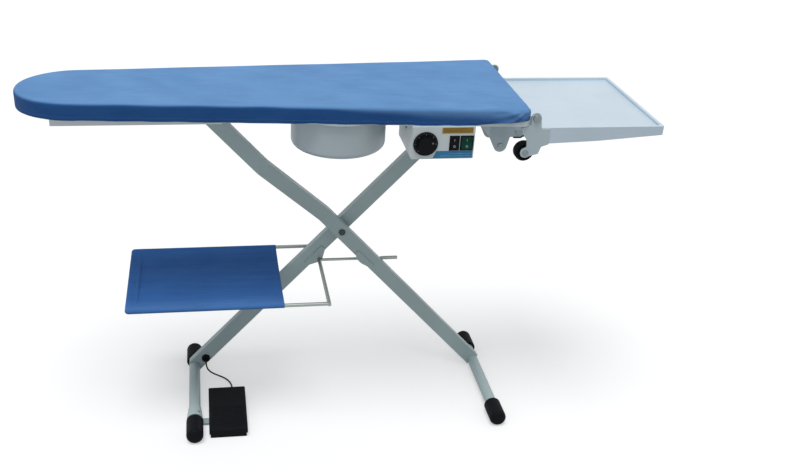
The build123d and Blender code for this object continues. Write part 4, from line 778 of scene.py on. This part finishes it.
sewing = ShapeTree("sewing", Spacing=0.0045, Length=0.0032, Thread=0.00035)
given = sewing.given
along = sewing.node(
    "GeometryNodeCurveToPoints", mode="LENGTH", Curve=given["Geometry"], Length=given["Spacing"]
)
thread = sewing.node("GeometryNodeMeshUVSphere", Segments=6, Rings=4, Radius=1.0)
half_length = sewing.math("MULTIPLY", given["Length"], 0.5)
size = sewing.node("ShaderNodeCombineXYZ", X=half_length, Y=given["Thread"], Z=given["Thread"])
lie = sewing.node("FunctionNodeAlignEulerToVector", axis="X", Vector=along.outputs["Tangent"])
sewing.end(sewing.node(
    "GeometryNodeInstanceOnPoints", Points=along, Instance=thread, Rotation=lie, Scale=size
))

cotton_thread = Finish("cotton_thread", (86, 124, 168), 0.8, specular=0.2)
twist = cotton_thread.noise(400.0, 1)
cotton_thread.tint(twist, (0.35, tone(76, 112, 156)), (0.65, tone(98, 136, 180)))


def sew(name, points, closed=False):
    """A row of stitches along points."""
    return sewing.run(guide_curve(name + "_guide", points, closed=closed), Finish=cotton_thread.material)


HEM_WIDTH, STITCH_SUNK = 0.0085, 0.0003
hem_line = []
for x, y in board_ring(0.0004)[:-1]:
    z = hem_height(x, y) + HEM_WIDTH
    toward = side_direction(x, y, min(0.0, x - NOSE_X))
    hem_line.append(Vector((x, y, z)) + toward * (pucker(x, y, z) - STITCH_SUNK))
hem_stitches = sew("cover_hem_stitches", hem_line, closed=True)
settle(hem_stitches, "board")
print("hem stitches", len(hem_stitches.data.polygons), "faces")

# %% [markdown]
# ## The felt pad
# Under the cotton lies a pad of felt that spreads the suction and the steam. It is a closed form with
# rounded edges. The cover hides it, but it is still a soft piece, so it gets the same rings, closed
# below, and a fibrous finish.

# %% Felt pad
felt_low, felt_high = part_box("felt_pad")
FELT_INSET, FELT_RADIUS = TAIL_HALF - felt_high.y + 0.0006, 0.0075
FELT_TOP = felt_high.z - 0.0003
felt_rings = [level_ring(FELT_INSET + 0.004, felt_low.z + 0.0002)]
felt_rings += round_edge((0, 22, 45, 67, 90), FELT_INSET, FELT_RADIUS, FELT_TOP)
felt_rings.append(level_ring(0.03, FELT_TOP))
felt = ribbed_sheet("felt_pad_soft", felt_rings, FLANK_POINTS, TAIL_STEPS, closed=True)
felt_finish = Finish("felt", (188, 184, 172), 0.95, specular=0.1)
fibre = felt_finish.noise(600.0, 5, roughness=0.7)
felt_finish.tint(fibre, (0.35, tone(170, 166, 154)), (0.65, tone(204, 200, 188)))
felt_finish.bump(fibre, 0.0005)
settle(felt, "board", felt_finish.material)
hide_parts("felt_pad")
print("felt", len(felt.data.polygons), "faces")

# %% [markdown]
# ## The shelf cloth
# The linen shelf is a rectangle of the same cotton in a darker blue. Three of its edges are pockets that
# a steel rod runs through, and the fourth is a plain hem. Under its own weight the cloth sags a little
# between the rods, and the pockets keep straight. Rings go round each rod and back in to the sewing
# line, and ribs carry the cloth across, as on the cover.

# %% Shelf cloth shape
shelf_low, shelf_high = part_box("shelf_fabric")
POCKET_RADIUS, POCKET_REACH, POCKET_WIDTH = 0.0066, 0.0068, 0.017
ROD_Z = shelf_high.z - POCKET_REACH
ROD_NOSE_X = shelf_low.x + POCKET_REACH
ROD_NEAR_Y, ROD_FAR_Y = shelf_low.y + POCKET_REACH, shelf_high.y - POCKET_REACH
CLOTH_TAIL_X = shelf_high.x
ROD_CORNER, SAG = 0.004, 0.006
SHELF_STEPS, SHELF_CORNER_STEPS, SHELF_ACROSS = 60, 6, 48
SHELF_FLANK = SHELF_STEPS + SHELF_CORNER_STEPS


def shelf_ring(inset, height):
    """The rods' plan moved inwards: along the near rod, across the nose rod and back along the far one."""
    nose_x = ROD_NOSE_X + inset
    near_y, far_y = ROD_NEAR_Y + inset, ROD_FAR_Y - inset
    radius = max(ROD_CORNER - inset, 0.0004)
    turn_x = nose_x + radius
    run = turn_x - CLOTH_TAIL_X
    flank = [(CLOTH_TAIL_X + run * k / SHELF_STEPS, near_y) for k in range(SHELF_STEPS)]
    for k in range(SHELF_CORNER_STEPS + 1):
        angle = pi / 2 * k / SHELF_CORNER_STEPS
        flank.append((turn_x - radius * sin(angle), near_y + radius * (1 - cos(angle))))
    start = flank[-1][1]
    end = far_y - (start - near_y)
    across = [(nose_x, start + (end - start) * k / SHELF_ACROSS) for k in range(1, SHELF_ACROSS)]
    back = [(x, far_y - (y - near_y)) for x, y in reversed(flank)]
    return [(x, y, ROD_Z + height) for x, y in flank + across + back]


def shelf_sag(across, along):
    """The cloth hangs lower in the middle, with faint folds along its length."""
    belly = 4 * across * (1 - across)
    folds = 0.0005 * sin(across * 21 + along * 3) + 0.0003 * sin(across * 47 - along * 5)
    return -SAG * belly * (0.75 + 0.25 * sin(pi * along)) + folds * belly


below_rod = [(POCKET_WIDTH, 0.0028), (0.011, -0.0004), (0.0055, -0.0044)]
round_rod = []
for turn in range(-90, 91, 20):
    round_rod.append((-POCKET_RADIUS * cos(radians(turn)), POCKET_RADIUS * sin(radians(turn))))
over_rod = [(0.004, 0.0064), (0.009, 0.0056), (0.014, 0.0047), (POCKET_WIDTH, 0.0040)]
over_rod += [(0.0195, 0.0044), (0.024, 0.0042)]
pocket_rings = [shelf_ring(inset, height) for inset, height in below_rod + round_rod + over_rod]
shelf_cloth = ribbed_sheet("shelf_cloth", pocket_rings, SHELF_FLANK, SHELF_ACROSS, lift=shelf_sag)
# Painted light: the shelf cloth is coloured lighter along the near rod, fading out about 62 mm inwards.
near_light_share = shelf_cloth.data.attributes.new("pocket", "FLOAT", "POINT")
for vertex, value in zip(shelf_cloth.data.vertices, near_light_share.data):
    near = vertex.co.y - ROD_NEAR_Y
    value.value = 1 - smooth_step(near, -0.002, 0.062)
    edge = smooth_step(vertex.co.x, CLOTH_TAIL_X - 0.012, CLOTH_TAIL_X)
    if vertex.co.z > ROD_Z and near > 0.004:
        vertex.co.z -= 0.0006 * edge * (1 + sin(vertex.co.y * 90))
shelf_area = thicken(shelf_cloth, 0.0008)
print("shelf cloth", round(shelf_area, 4), "faces", len(shelf_cloth.data.polygons))

# %% [markdown]
# The hem at the open side is a strip turned twice to the underside. It is a piece of its own, a narrow
# band just below the cloth, and two rows of stitches hold it. One more row runs beside each rod.

# %% Shelf hem and stitches
HEM_STRIP, HEM_ROWS, HEM_MARGIN, HEM_DROP = 0.014, 5, 0.02, 0.0022
hem_near, hem_far = ROD_NEAR_Y + HEM_MARGIN, ROD_FAR_Y - HEM_MARGIN
hem_points = []
for row in range(HEM_ROWS):
    x = CLOTH_TAIL_X - 0.0002 - HEM_STRIP * row / (HEM_ROWS - 1)
    for k in range(SHELF_ACROSS + 1):
        across = k / SHELF_ACROSS
        drop = shelf_sag(across, 0.0) if 0 < k < SHELF_ACROSS else 0.0
        hem_points.append((x, hem_near + (hem_far - hem_near) * across, ROD_Z + 0.0042 + drop - HEM_DROP))
hem_faces = skin(numbered(HEM_ROWS, SHELF_ACROSS + 1)[::-1])
shelf_hem = mesh_piece("shelf_hem", hem_points, hem_faces)
thicken(shelf_hem, 0.0014, offset=0.0)


def on_cloth(x, y):
    """A place on top of the shelf cloth, found with a ray from above."""
    hit, place, _, _ = shelf_cloth.ray_cast((x, y, 1.2), (0, 0, -1))
    return x, y, place.z if hit else ROD_Z


bpy.context.view_layer.update()
sewing_ring = shelf_ring(POCKET_WIDTH - 0.0005, 0)
beside_rods = [on_cloth(x, y) for x, y, _ in sewing_ring if x < CLOTH_TAIL_X - 0.001]
shelf_stitches = [sew("shelf_rod_stitches", beside_rods)]
for number, back in enumerate((0.0025, 0.0125)):
    row = []
    for k in range(SHELF_ACROSS + 1):
        y = ROD_NEAR_Y + 0.01 + (ROD_FAR_Y - ROD_NEAR_Y - 0.02) * k / SHELF_ACROSS
        row.append(on_cloth(CLOTH_TAIL_X - back, y))
    shelf_stitches.append(sew(f"shelf_hem_stitches_{number + 1}", row))

# The second pair of shades is the lighter painted-light tone for the strip along the near rod.
MAIN_SHADES, NEAR_LIGHT_SHADES = ((40, 93, 160), (50, 105, 175)), ((62, 110, 172), (74, 124, 188))
shelf_cotton = woven("shelf_cotton", (62, 104, 160), "pocket", MAIN_SHADES, NEAR_LIGHT_SHADES)
for piece in (shelf_cloth, shelf_hem):
    piece.data.materials.append(shelf_cotton)
for piece in (shelf_cloth, shelf_hem, *shelf_stitches):
    settle(piece, "shelf")
    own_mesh(piece)
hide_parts("shelf_fabric")
print("shelf stitches", sum(len(piece.data.polygons) for piece in shelf_stitches))

# %% [markdown]
# ## Screws, grip ribs and other small repeats
# The control box is closed by pan head screws at its sides, the fan drum hangs from its flange by six,
# the collar of the pedal is pinched by one, and the pedal has ribs for grip. All of these are one small
# shape set down at many places, each turned to face away from its surface. Copies by hand would work,
# but one node tree does it for every kind: it reads the places and the directions from a few points.


# %% Screw head and grip rib
def screw_head(name, radius, height, sides=24):
    """A pan head with a cross recess, turned about Z and standing on the ground."""
    turns = [(cos(2 * pi * k / sides), sin(2 * pi * k / sides)) for k in range(sides)]
    pan = ((1.0, 0.0), (1.0, 0.35), (0.93, 0.62), (0.78, 0.86), (0.56, 1.0))
    outlines = [([share] * sides, rise) for share, rise in pan]
    reach, width = 0.42, 0.11
    cross = []
    for x, y in turns:
        run, side_run = max(abs(x), 1e-6), max(abs(y), 1e-6)
        cross.append(max(min(reach / run, width / side_run), min(width / run, reach / side_run)))
    outlines += [(cross, 1.0), (cross, 0.4)]
    points = []
    for shares, rise in outlines:
        for share, (x, y) in zip(shares, turns):
            points.append((radius * share * x, radius * share * y, height * rise))
    rows = numbered(len(outlines), sides)
    faces = skin(rows, around=True) + [tuple(reversed(rows[0])), tuple(rows[-1])]
    return outward(mesh_piece(name, points, faces, smooth=False))


def grip_rib(name, length, width, height, steps=6):
    """A low rib with a rounded back and rounded ends, lying along X."""
    stations = [(-0.5, 0.05), (-0.49, 0.75), (-0.47, 1.0), (0.47, 1.0), (0.49, 0.75), (0.5, 0.05)]
    points = []
    for share, scale in stations:
        for k in range(steps + 1):
            angle = pi * k / steps
            points.append((length * share, width / 2 * scale * cos(angle), height * scale * sin(angle)))
    rows = numbered(len(stations), steps + 1)
    faces = skin(rows, around=True) + [tuple(rows[0]), tuple(rows[-1])]
    return outward(mesh_piece(name, points, faces))


# %% A tree that sets a shape down at many places
placing = ShapeTree("placing", Shape=None, Turn=0.0)
given = placing.given
model = placing.node("GeometryNodeObjectInfo", Object=given["Shape"], As_Instance=True)
facing = placing.node("GeometryNodeInputNamedAttribute", data_type="FLOAT_VECTOR", Name="facing")
look = placing.node("FunctionNodeAlignEulerToVector", axis="Z", Vector=facing.outputs["Attribute"])
laid = placing.node(
    "GeometryNodeInstanceOnPoints", Points=given["Geometry"], Instance=model.outputs["Geometry"],
    Rotation=look,
)
chance = placing.node("FunctionNodeRandomValue", data_type="FLOAT", Seed=7)
placing.feed(chance.inputs[3], given["Turn"])
spin = placing.node("ShaderNodeCombineXYZ", Z=chance.outputs[1])
placing.end(placing.node("GeometryNodeRotateInstances", Instances=laid, Rotation=spin))


def set_down(name, shape, places, material, body, turn=0.0):
    """Copies of a shape at places, each with the direction it faces, as one piece on a body."""
    guide = mesh_piece(name + "_guide", [place for place, _ in places], [], smooth=False)
    direction = guide.data.attributes.new("facing", "FLOAT_VECTOR", "POINT")
    for value, (_, toward) in zip(direction.data, places):
        value.vector = toward
    made = settle(placing.run(guide, Shape=shape, Turn=turn, Finish=material), body)
    print(name, len(places), "copies,", len(made.data.polygons), "faces")


# %% Screws and ribs in their places
NOSEWARD, TAILWARD, UPWARD, DOWNWARD = (-1, 0, 0), (1, 0, 0), (0, 0, 1), (0, 0, -1)
case_low, case_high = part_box("control_box")
small_screw = screw_head("small_screw", 0.0032, 0.0018)
large_screw = screw_head("large_screw", 0.0036, 0.0022)
black_screw = plated("black_screw", (44, 48, 52), 0.45, streak=EVEN_STREAK)
SIDE_SCREW_Y, SIDE_SCREW_Z = (-0.1133, -0.062), 0.8467
side_places = [((case_low.x, y, SIDE_SCREW_Z), NOSEWARD) for y in SIDE_SCREW_Y]
side_places += [((case_high.x, y, SIDE_SCREW_Z), TAILWARD) for y in SIDE_SCREW_Y]
set_down("control_box_screws", small_screw, side_places, black_screw, "board", pi)

FLANGE_WIDTH, FLANGE_SHEET, FLANGE_SCREWS = 0.009, 0.002, 6
drum_low, drum_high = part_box("fan_housing")
drum_middle = (drum_low + drum_high) / 2
flange_ring = (drum_high.x - drum_low.x) / 2 - FLANGE_WIDTH / 2
flange_places = []
for k in range(FLANGE_SCREWS):
    angle = 2 * pi * (k + 0.5) / FLANGE_SCREWS
    x = drum_middle.x + flange_ring * cos(angle)
    y = drum_middle.y + flange_ring * sin(angle)
    flange_places.append(((x, y, drum_high.z - FLANGE_SHEET), DOWNWARD))
set_down("fan_flange_screws", large_screw, flange_places, bolt_steel, "board", pi)

RIB_COUNT, RIB_SPACING, RIB_START, RIB_MARGIN = 12, 0.0075, 0.018, 0.016
pedal_low, pedal_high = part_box("pedal_cover")
rib = grip_rib("rib", (pedal_high.x - pedal_low.x) - RIB_MARGIN, 0.0026, 0.0008)
rib_x = (pedal_low.x + pedal_high.x) / 2
rib_places = []
for k in range(RIB_COUNT):
    rib_y = pedal_low.y + RIB_START + RIB_SPACING * k
    rib_places.append(((rib_x, rib_y, pedal_high.z - 0.0001), UPWARD))
set_down("pedal_grip_ribs", rib, rib_places, pedal_plastic, "pedal_top")

COLLAR_AXIS_X, COLLAR_AXIS_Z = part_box("nose_foot_bar")[0].x + 0.0155, 0.0221
COLLAR_SCREW_Y, COLLAR_RADIUS, COLLAR_LEAN = -0.122, 0.0206, radians(32)
collar_side = Vector((sin(COLLAR_LEAN), 0, cos(COLLAR_LEAN)))
collar_place = Vector((COLLAR_AXIS_X, COLLAR_SCREW_Y, COLLAR_AXIS_Z)) + collar_side * COLLAR_RADIUS
collar_places = [(collar_place, collar_side)]
set_down("collar_screw", large_screw, collar_places, bolt_steel, "pedal")
for shape in (small_screw, large_screw, rib):
    bpy.data.objects.remove(shape)

# %% [markdown]
# ## The dial
# The thermostat dial carries a ring of short marks with plain numbers, printed in pale ink, and a small
# amber dot on its grip. The marks follow a rule, a mark each nine degrees with every fifth one longer, so
# a node tree works them out from their count. The numbers are text turned into meshes.

# %% Marks of the dial
PANEL_GAP, SKIRT_DEPTH = 0.0004, 0.004
dial_low, dial_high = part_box("thermostat_knob")
panel_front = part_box("control_panel")[0].y
dial_centre = (dial_low + dial_high) / 2
dial_centre.y = panel_front - PANEL_GAP - SKIRT_DEPTH
SWEEP, MARKS, MARKS_PER_NUMBER = radians(270), 31, 5

ring = ShapeTree(
    "dial_ring", Count=MARKS, Sweep=SWEEP, Radius=0.0265, Length=0.0011, Width=0.00035,
    Thickness=0.00012, Centre=(0.0, 0.0, 0.0),
)
given, sums = ring.given, ring.math
index = ring.node("GeometryNodeInputIndex")
share = sums("DIVIDE", index, sums("SUBTRACT", given["Count"], 1.0))
angle = sums("MULTIPLY", sums("SUBTRACT", share, 0.5), given["Sweep"])
where = ring.node(
    "ShaderNodeCombineXYZ",
    X=sums("MULTIPLY", sums("SINE", angle), given["Radius"]),
    Z=sums("MULTIPLY", sums("COSINE", angle), given["Radius"]),
)
fifth = sums("LESS_THAN", sums("MODULO", index, float(MARKS_PER_NUMBER)), 0.5)
length = sums("MULTIPLY", given["Length"], sums("ADD", 1.0, sums("MULTIPLY", fifth, 0.7)))
size = ring.node("ShaderNodeCombineXYZ", X=given["Width"], Y=given["Thickness"], Z=length)
turn = ring.node("ShaderNodeCombineXYZ", Y=angle)
bar = ring.node("GeometryNodeMeshCube", Size=(1, 1, 1))
marks = ring.node("GeometryNodePoints", Count=given["Count"])
stood = ring.node("GeometryNodeSetPosition", Geometry=marks, Position=where)
laid = ring.node("GeometryNodeInstanceOnPoints", Points=stood, Instance=bar, Rotation=turn, Scale=size)
ring.end(laid, move=given["Centre"])


def ink(name, colour, roughness=0.45):
    """Printed ink: a little uneven, as it is laid on by a screen."""
    printed = Finish(name, colour, roughness, specular=0.3)
    patchy = printed.noise(900.0, 2)
    printed.mottle(patchy, 0.88, 1.06)
    printed.bump(patchy, 0.00002, 0.4)
    return printed.material


pale_ink = ink("pale_ink", (150, 156, 160))
ring_guide = mesh_piece("dial_marks_guide", [(0, 0, 0)], [], smooth=False)
dial_marks = ring.run(ring_guide, Centre=tuple(dial_centre), Finish=pale_ink)
settle(dial_marks, "dial")
print("dial marks", len(dial_marks.data.polygons), "faces")


# %% Numbers and dot of the dial
def flat_text(body, height, thickness=0.00006):
    """Text as a mesh that faces the front, with its middle at the origin."""
    words = bpy.data.curves.new("text", "FONT")
    words.body = body
    words.size = height
    words.extrude = thickness
    words.align_x, words.align_y = "CENTER", "CENTER"
    words.resolution_u = 3
    obj = link(bpy.data.objects.new("text", words))
    mesh = evaluated_mesh(obj)
    bpy.data.objects.remove(obj)
    mesh.transform(Matrix.Rotation(pi / 2, 4, "X"))
    return mesh


def on_dial(angle, radius):
    """A place on the face of the dial, at an angle from its top."""
    return dial_centre + Vector((sin(angle), 0, cos(angle))) * radius


NUMBER_RING, NUMBER_HEIGHT = 0.0236, 0.0042
digits = bmesh.new()
for number in range(MARKS // MARKS_PER_NUMBER + 1):
    angle = SWEEP * (number * MARKS_PER_NUMBER / (MARKS - 1) - 0.5)
    mesh = flat_text(str(number), NUMBER_HEIGHT)
    mesh.transform(Matrix.Translation(on_dial(angle, NUMBER_RING)) @ Matrix.Rotation(angle, 4, "Y"))
    digits.from_mesh(mesh)
    bpy.data.meshes.remove(mesh)
dial_numbers = link(bpy.data.objects.new("dial_numbers", bpy.data.meshes.new("dial_numbers")))
digits.to_mesh(dial_numbers.data)
digits.free()
settle(outward(dial_numbers), "dial", pale_ink)


def disc(name, centre, normal, radius, height, hole=0.0, sides=32):
    """A thin disc or ring with a rounded rim that stands on a surface."""
    up = Vector(normal).normalized()
    side = up.cross((1, 0, 0) if abs(up.x) < 0.9 else (0, 1, 0)).normalized()
    other = up.cross(side)
    profile = [(hole, 0), (radius, 0), (radius, 0.6 * height), (0.92 * radius, height)]
    profile.append((hole + 0.08 * radius if hole else 0.0, height))
    points = []
    for reach, rise in profile:
        for k in range(sides):
            angle = 2 * pi * k / sides
            points.append(Vector(centre) + up * rise + reach * (side * cos(angle) + other * sin(angle)))
    rows = numbered(len(profile), sides)
    return outward(mesh_piece(name, points, skin([*rows, rows[0]], around=True)), least=1e-7)


DOT_ANGLE, DOT_RING = radians(65), 0.0155
dot_place = on_dial(DOT_ANGLE, DOT_RING)
dot_place.y = dial_low.y
dial_dot = disc("dial_dot", dot_place, (0, -1, 0), 0.0013, 0.00025)
settle(dial_dot, "dial", ink("amber_ink", (176, 112, 52)))
dot_ring = disc("dial_dot_ring", dot_place, (0, -1, 0), 0.0021, 0.0002, hole=0.0016)
settle(dot_ring, "dial", pale_ink)
print("dial", len(dial_numbers.data.polygons), "faces of numbers")

# %% [markdown]
# ## Printed strips and switch marks
# Two printed foils sit on the front panel: a gold one along its top and a blue one below the switches,
# cut at a slant beside the dial. They are thin plates with rounded corners that stand a hair proud of
# the paint, left plain but for a few fine lines. The rockers carry a bar and a ring, as switches do.


# %% Foils on the panel
def plate(name, base, top):
    """A thin plate between two outlines."""
    rows = numbered(2, len(base))
    faces = [tuple(rows[0]), tuple(reversed(rows[1]))] + skin(rows, around=True)
    return outward(mesh_piece(name, [*base, *top], faces, smooth=False))


def foil(name, outline, material, depth, lift=0.0):
    """A thin plate on the front panel, from its outline in X and Z."""
    back = panel_front - lift
    base, top = ([(x, y, z) for x, z in outline] for y in (back, back - depth))
    settle(plate(name, base, top), "board", material)


def rounded(corners, radius, steps=4):
    """An outline whose corners are rounded, each by a short curve towards its neighbours."""
    outline = []
    for k, corner in enumerate(corners):
        here = Vector(corner)
        before = (Vector(corners[k - 1]) - here).normalized() * radius
        after = (Vector(corners[(k + 1) % len(corners)]) - here).normalized() * radius
        for step in range(steps + 1):
            t = step / steps
            outline.append(tuple(here + before * (1 - t) ** 2 + after * t**2))
    return outline


def four(left, right, low, high, slant=0.0):
    return [(left, low), (right, low), (right, high), (left + slant, high)]


FOIL, PRINT = 0.00015, 0.00006
STRIP_LEFT, STRIP_RIGHT, STRIP_LOW, STRIP_HIGH = 0.218, 0.2915, 0.8606, 0.8748
BAND_LEFT, BAND_RIGHT, BAND_LOW, BAND_HIGH, BAND_SLANT = 0.1985, 0.2945, 0.7975, 0.8160, 0.0085
BORDER, LINE_MARGIN = 0.0022, 0.004

border = four(STRIP_LEFT - BORDER, STRIP_RIGHT + 0.001, STRIP_LOW - BORDER, STRIP_HIGH)
foil("gold_strip_border", rounded(border, 0.002), ink("cream_foil", (196, 192, 160)), FOIL)
strip = rounded(four(STRIP_LEFT, STRIP_RIGHT, STRIP_LOW, STRIP_HIGH - 0.0006), 0.0012)
foil("gold_strip", strip, ink("gold_foil", (148, 116, 40), 0.35), FOIL, FOIL)
blue_band = rounded(four(BAND_LEFT, BAND_RIGHT, BAND_LOW, BAND_HIGH, BAND_SLANT), 0.0012)
foil("blue_band", blue_band, ink("blue_foil", (52, 128, 176), 0.35), FOIL)
strip_line = ink("strip_line", (108, 84, 30))
band_line = ink("band_line", (120, 174, 208))
for row, reach in enumerate((0.062, 0.044, 0.054)):
    left, z = STRIP_LEFT + LINE_MARGIN, STRIP_LOW + 0.0028 + 0.0036 * row
    line = four(left, left + reach, z, z + 0.0011)
    foil(f"gold_strip_line_{row + 1}", line, strip_line, PRINT, 2 * FOIL)
for row, reach in enumerate((0.074, 0.052)):
    right, z = BAND_RIGHT - LINE_MARGIN, BAND_LOW + 0.0052 + 0.0056 * row
    line = four(right - reach, right, z, z + 0.0012)
    foil(f"blue_band_line_{row + 1}", line, band_line, PRINT, FOIL)
print("foils on the panel")


# %% Marks on the rocker switches
def on_surface(node, x, z):
    """Place and direction of a node's surface, seen from the front."""
    hit, place, normal, _ = nodes[node].ray_cast((x, -0.5, z), (0, 1, 0))
    if normal.y > 0:
        normal = -normal
    return place if hit else Vector((x, panel_front, z)), normal


def mark_bar(name, place, normal, width, height, depth=0.00012):
    """A flat bar on a sloping rocker."""
    side = Vector((1, 0, 0))
    rise = normal.cross(side).normalized()
    if rise.z < 0:
        rise = -rise
    outlines = [[], []]
    for outline, out in zip(outlines, (0, depth)):
        for u, v in ((-1, -1), (1, -1), (1, 1), (-1, 1)):
            outline.append(place + side * u * width / 2 + rise * v * height / 2 + normal * out)
    return plate(name, *outlines)


BAR_SHARE, RING_SHARE = 0.74, 0.26
switch_ink = ink("switch_ink", (176, 196, 188))
for colour in ("black", "green"):
    node = f"{colour}_rocker"
    low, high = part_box(node)
    middle = (low.x + high.x) / 2
    bar_place, bar_normal = on_surface(node, middle, low.z + BAR_SHARE * (high.z - low.z))
    ring_place, ring_normal = on_surface(node, middle, low.z + RING_SHARE * (high.z - low.z))
    bar_mark = mark_bar(f"{node}_bar", bar_place, bar_normal, 0.0011, 0.0058)
    ring_mark = disc(f"{node}_ring", ring_place, ring_normal, 0.0027, 0.00012, hole=0.0018)
    for piece in (bar_mark, ring_mark):
        settle(piece, f"{colour}_switch", switch_ink)
print("switch marks", [round(v, 4) for v in ring_normal])

# %% [markdown]
# ## The return spring of the pedal
# Under the pedal's cover stands a small coil spring. It gets shorter when the pedal is pressed; here it is
# drawn at one length and rides with the pedal. Its shape is a rule, so many turns over a height, and a
# node tree draws it: a spiral, with a round wire swept along it and closed at both ends.

# %% Pedal spring
winding = ShapeTree("winding", Turns=4.0, Radius=0.007, Height=0.02, Wire=0.0008, Foot=(0.0, 0.0, 0.0))
given = winding.given
spiral = winding.node(
    "GeometryNodeCurveSpiral", Resolution=20, Rotations=given["Turns"],
    Start_Radius=given["Radius"], End_Radius=given["Radius"], Height=given["Height"],
)
wire = winding.node(
    "GeometryNodeCurvePrimitiveCircle", mode="RADIUS", Resolution=8, Radius=given["Wire"]
)
swept = winding.node("GeometryNodeCurveToMesh", Curve=spiral, Profile_Curve=wire, Fill_Caps=True)
winding.end(swept, move=given["Foot"])

SPRING_WIRE, SPRING_TURNS, SPRING_PRESSED, SPRING_ROOM = 0.0008, 5.5, 0.42, 0.0003
spring_low, spring_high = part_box("pedal_spring")
spring_size = spring_high - spring_low
spring_foot = (spring_low + spring_high) / 2
spring_foot.z = spring_low.z + SPRING_WIRE
spring_guide = mesh_piece("return_spring_guide", [(0, 0, 0)], [], smooth=False)
return_spring = winding.run(
    spring_guide, Turns=SPRING_TURNS, Radius=spring_size.x / 2 - SPRING_WIRE, Wire=SPRING_WIRE,
    Height=spring_size.z - 2 * SPRING_WIRE - SPRING_ROOM, Foot=tuple(spring_foot), Finish=bright_steel,
)
return_spring.data.shade_smooth()
settle(outward(return_spring), "pedal")
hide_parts("pedal_spring")
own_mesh(return_spring)
print("spring", [round(v, 4) for v in spring_size])

# %% [markdown]
# ## The drain hole
# A small oval hole near the foot of the tail leg lets plating fluid out of the tube. Its shade is painted:
# a low dark domed oval in the rubber finish, turned along the leg, stands in the hole.

# %% Painted shade in the drain hole
HOLE_PLACE, HOLE_LEAN, HOLE_SIZE = Vector((0.4375, 0.0800, 0.0285)), radians(-20), (0.0024, 0.0042, 0.002)
hole_shade = disc("drain_plug", (0, 0, 0), (0, 0, 1), 1.0, 0.35)
hole_shade.data.transform(
    Matrix.Translation(HOLE_PLACE) @ Matrix.Rotation(HOLE_LEAN, 4, "Y")
    @ Matrix.Rotation(pi / 2, 4, "X") @ Matrix.Diagonal((*HOLE_SIZE, 1))
)
settle(outward(hole_shade), "tail_leg", rubber)
print("plug at", [round(v, 4) for v in HOLE_PLACE])

# %% [markdown]
# ## The size of the dressed object
# The size of the box round the dressed object is printed, so a piece that stands out too far is found at
# once.

# %% Size
low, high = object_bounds()
print("size", [round(v, 4) for v in high - low])
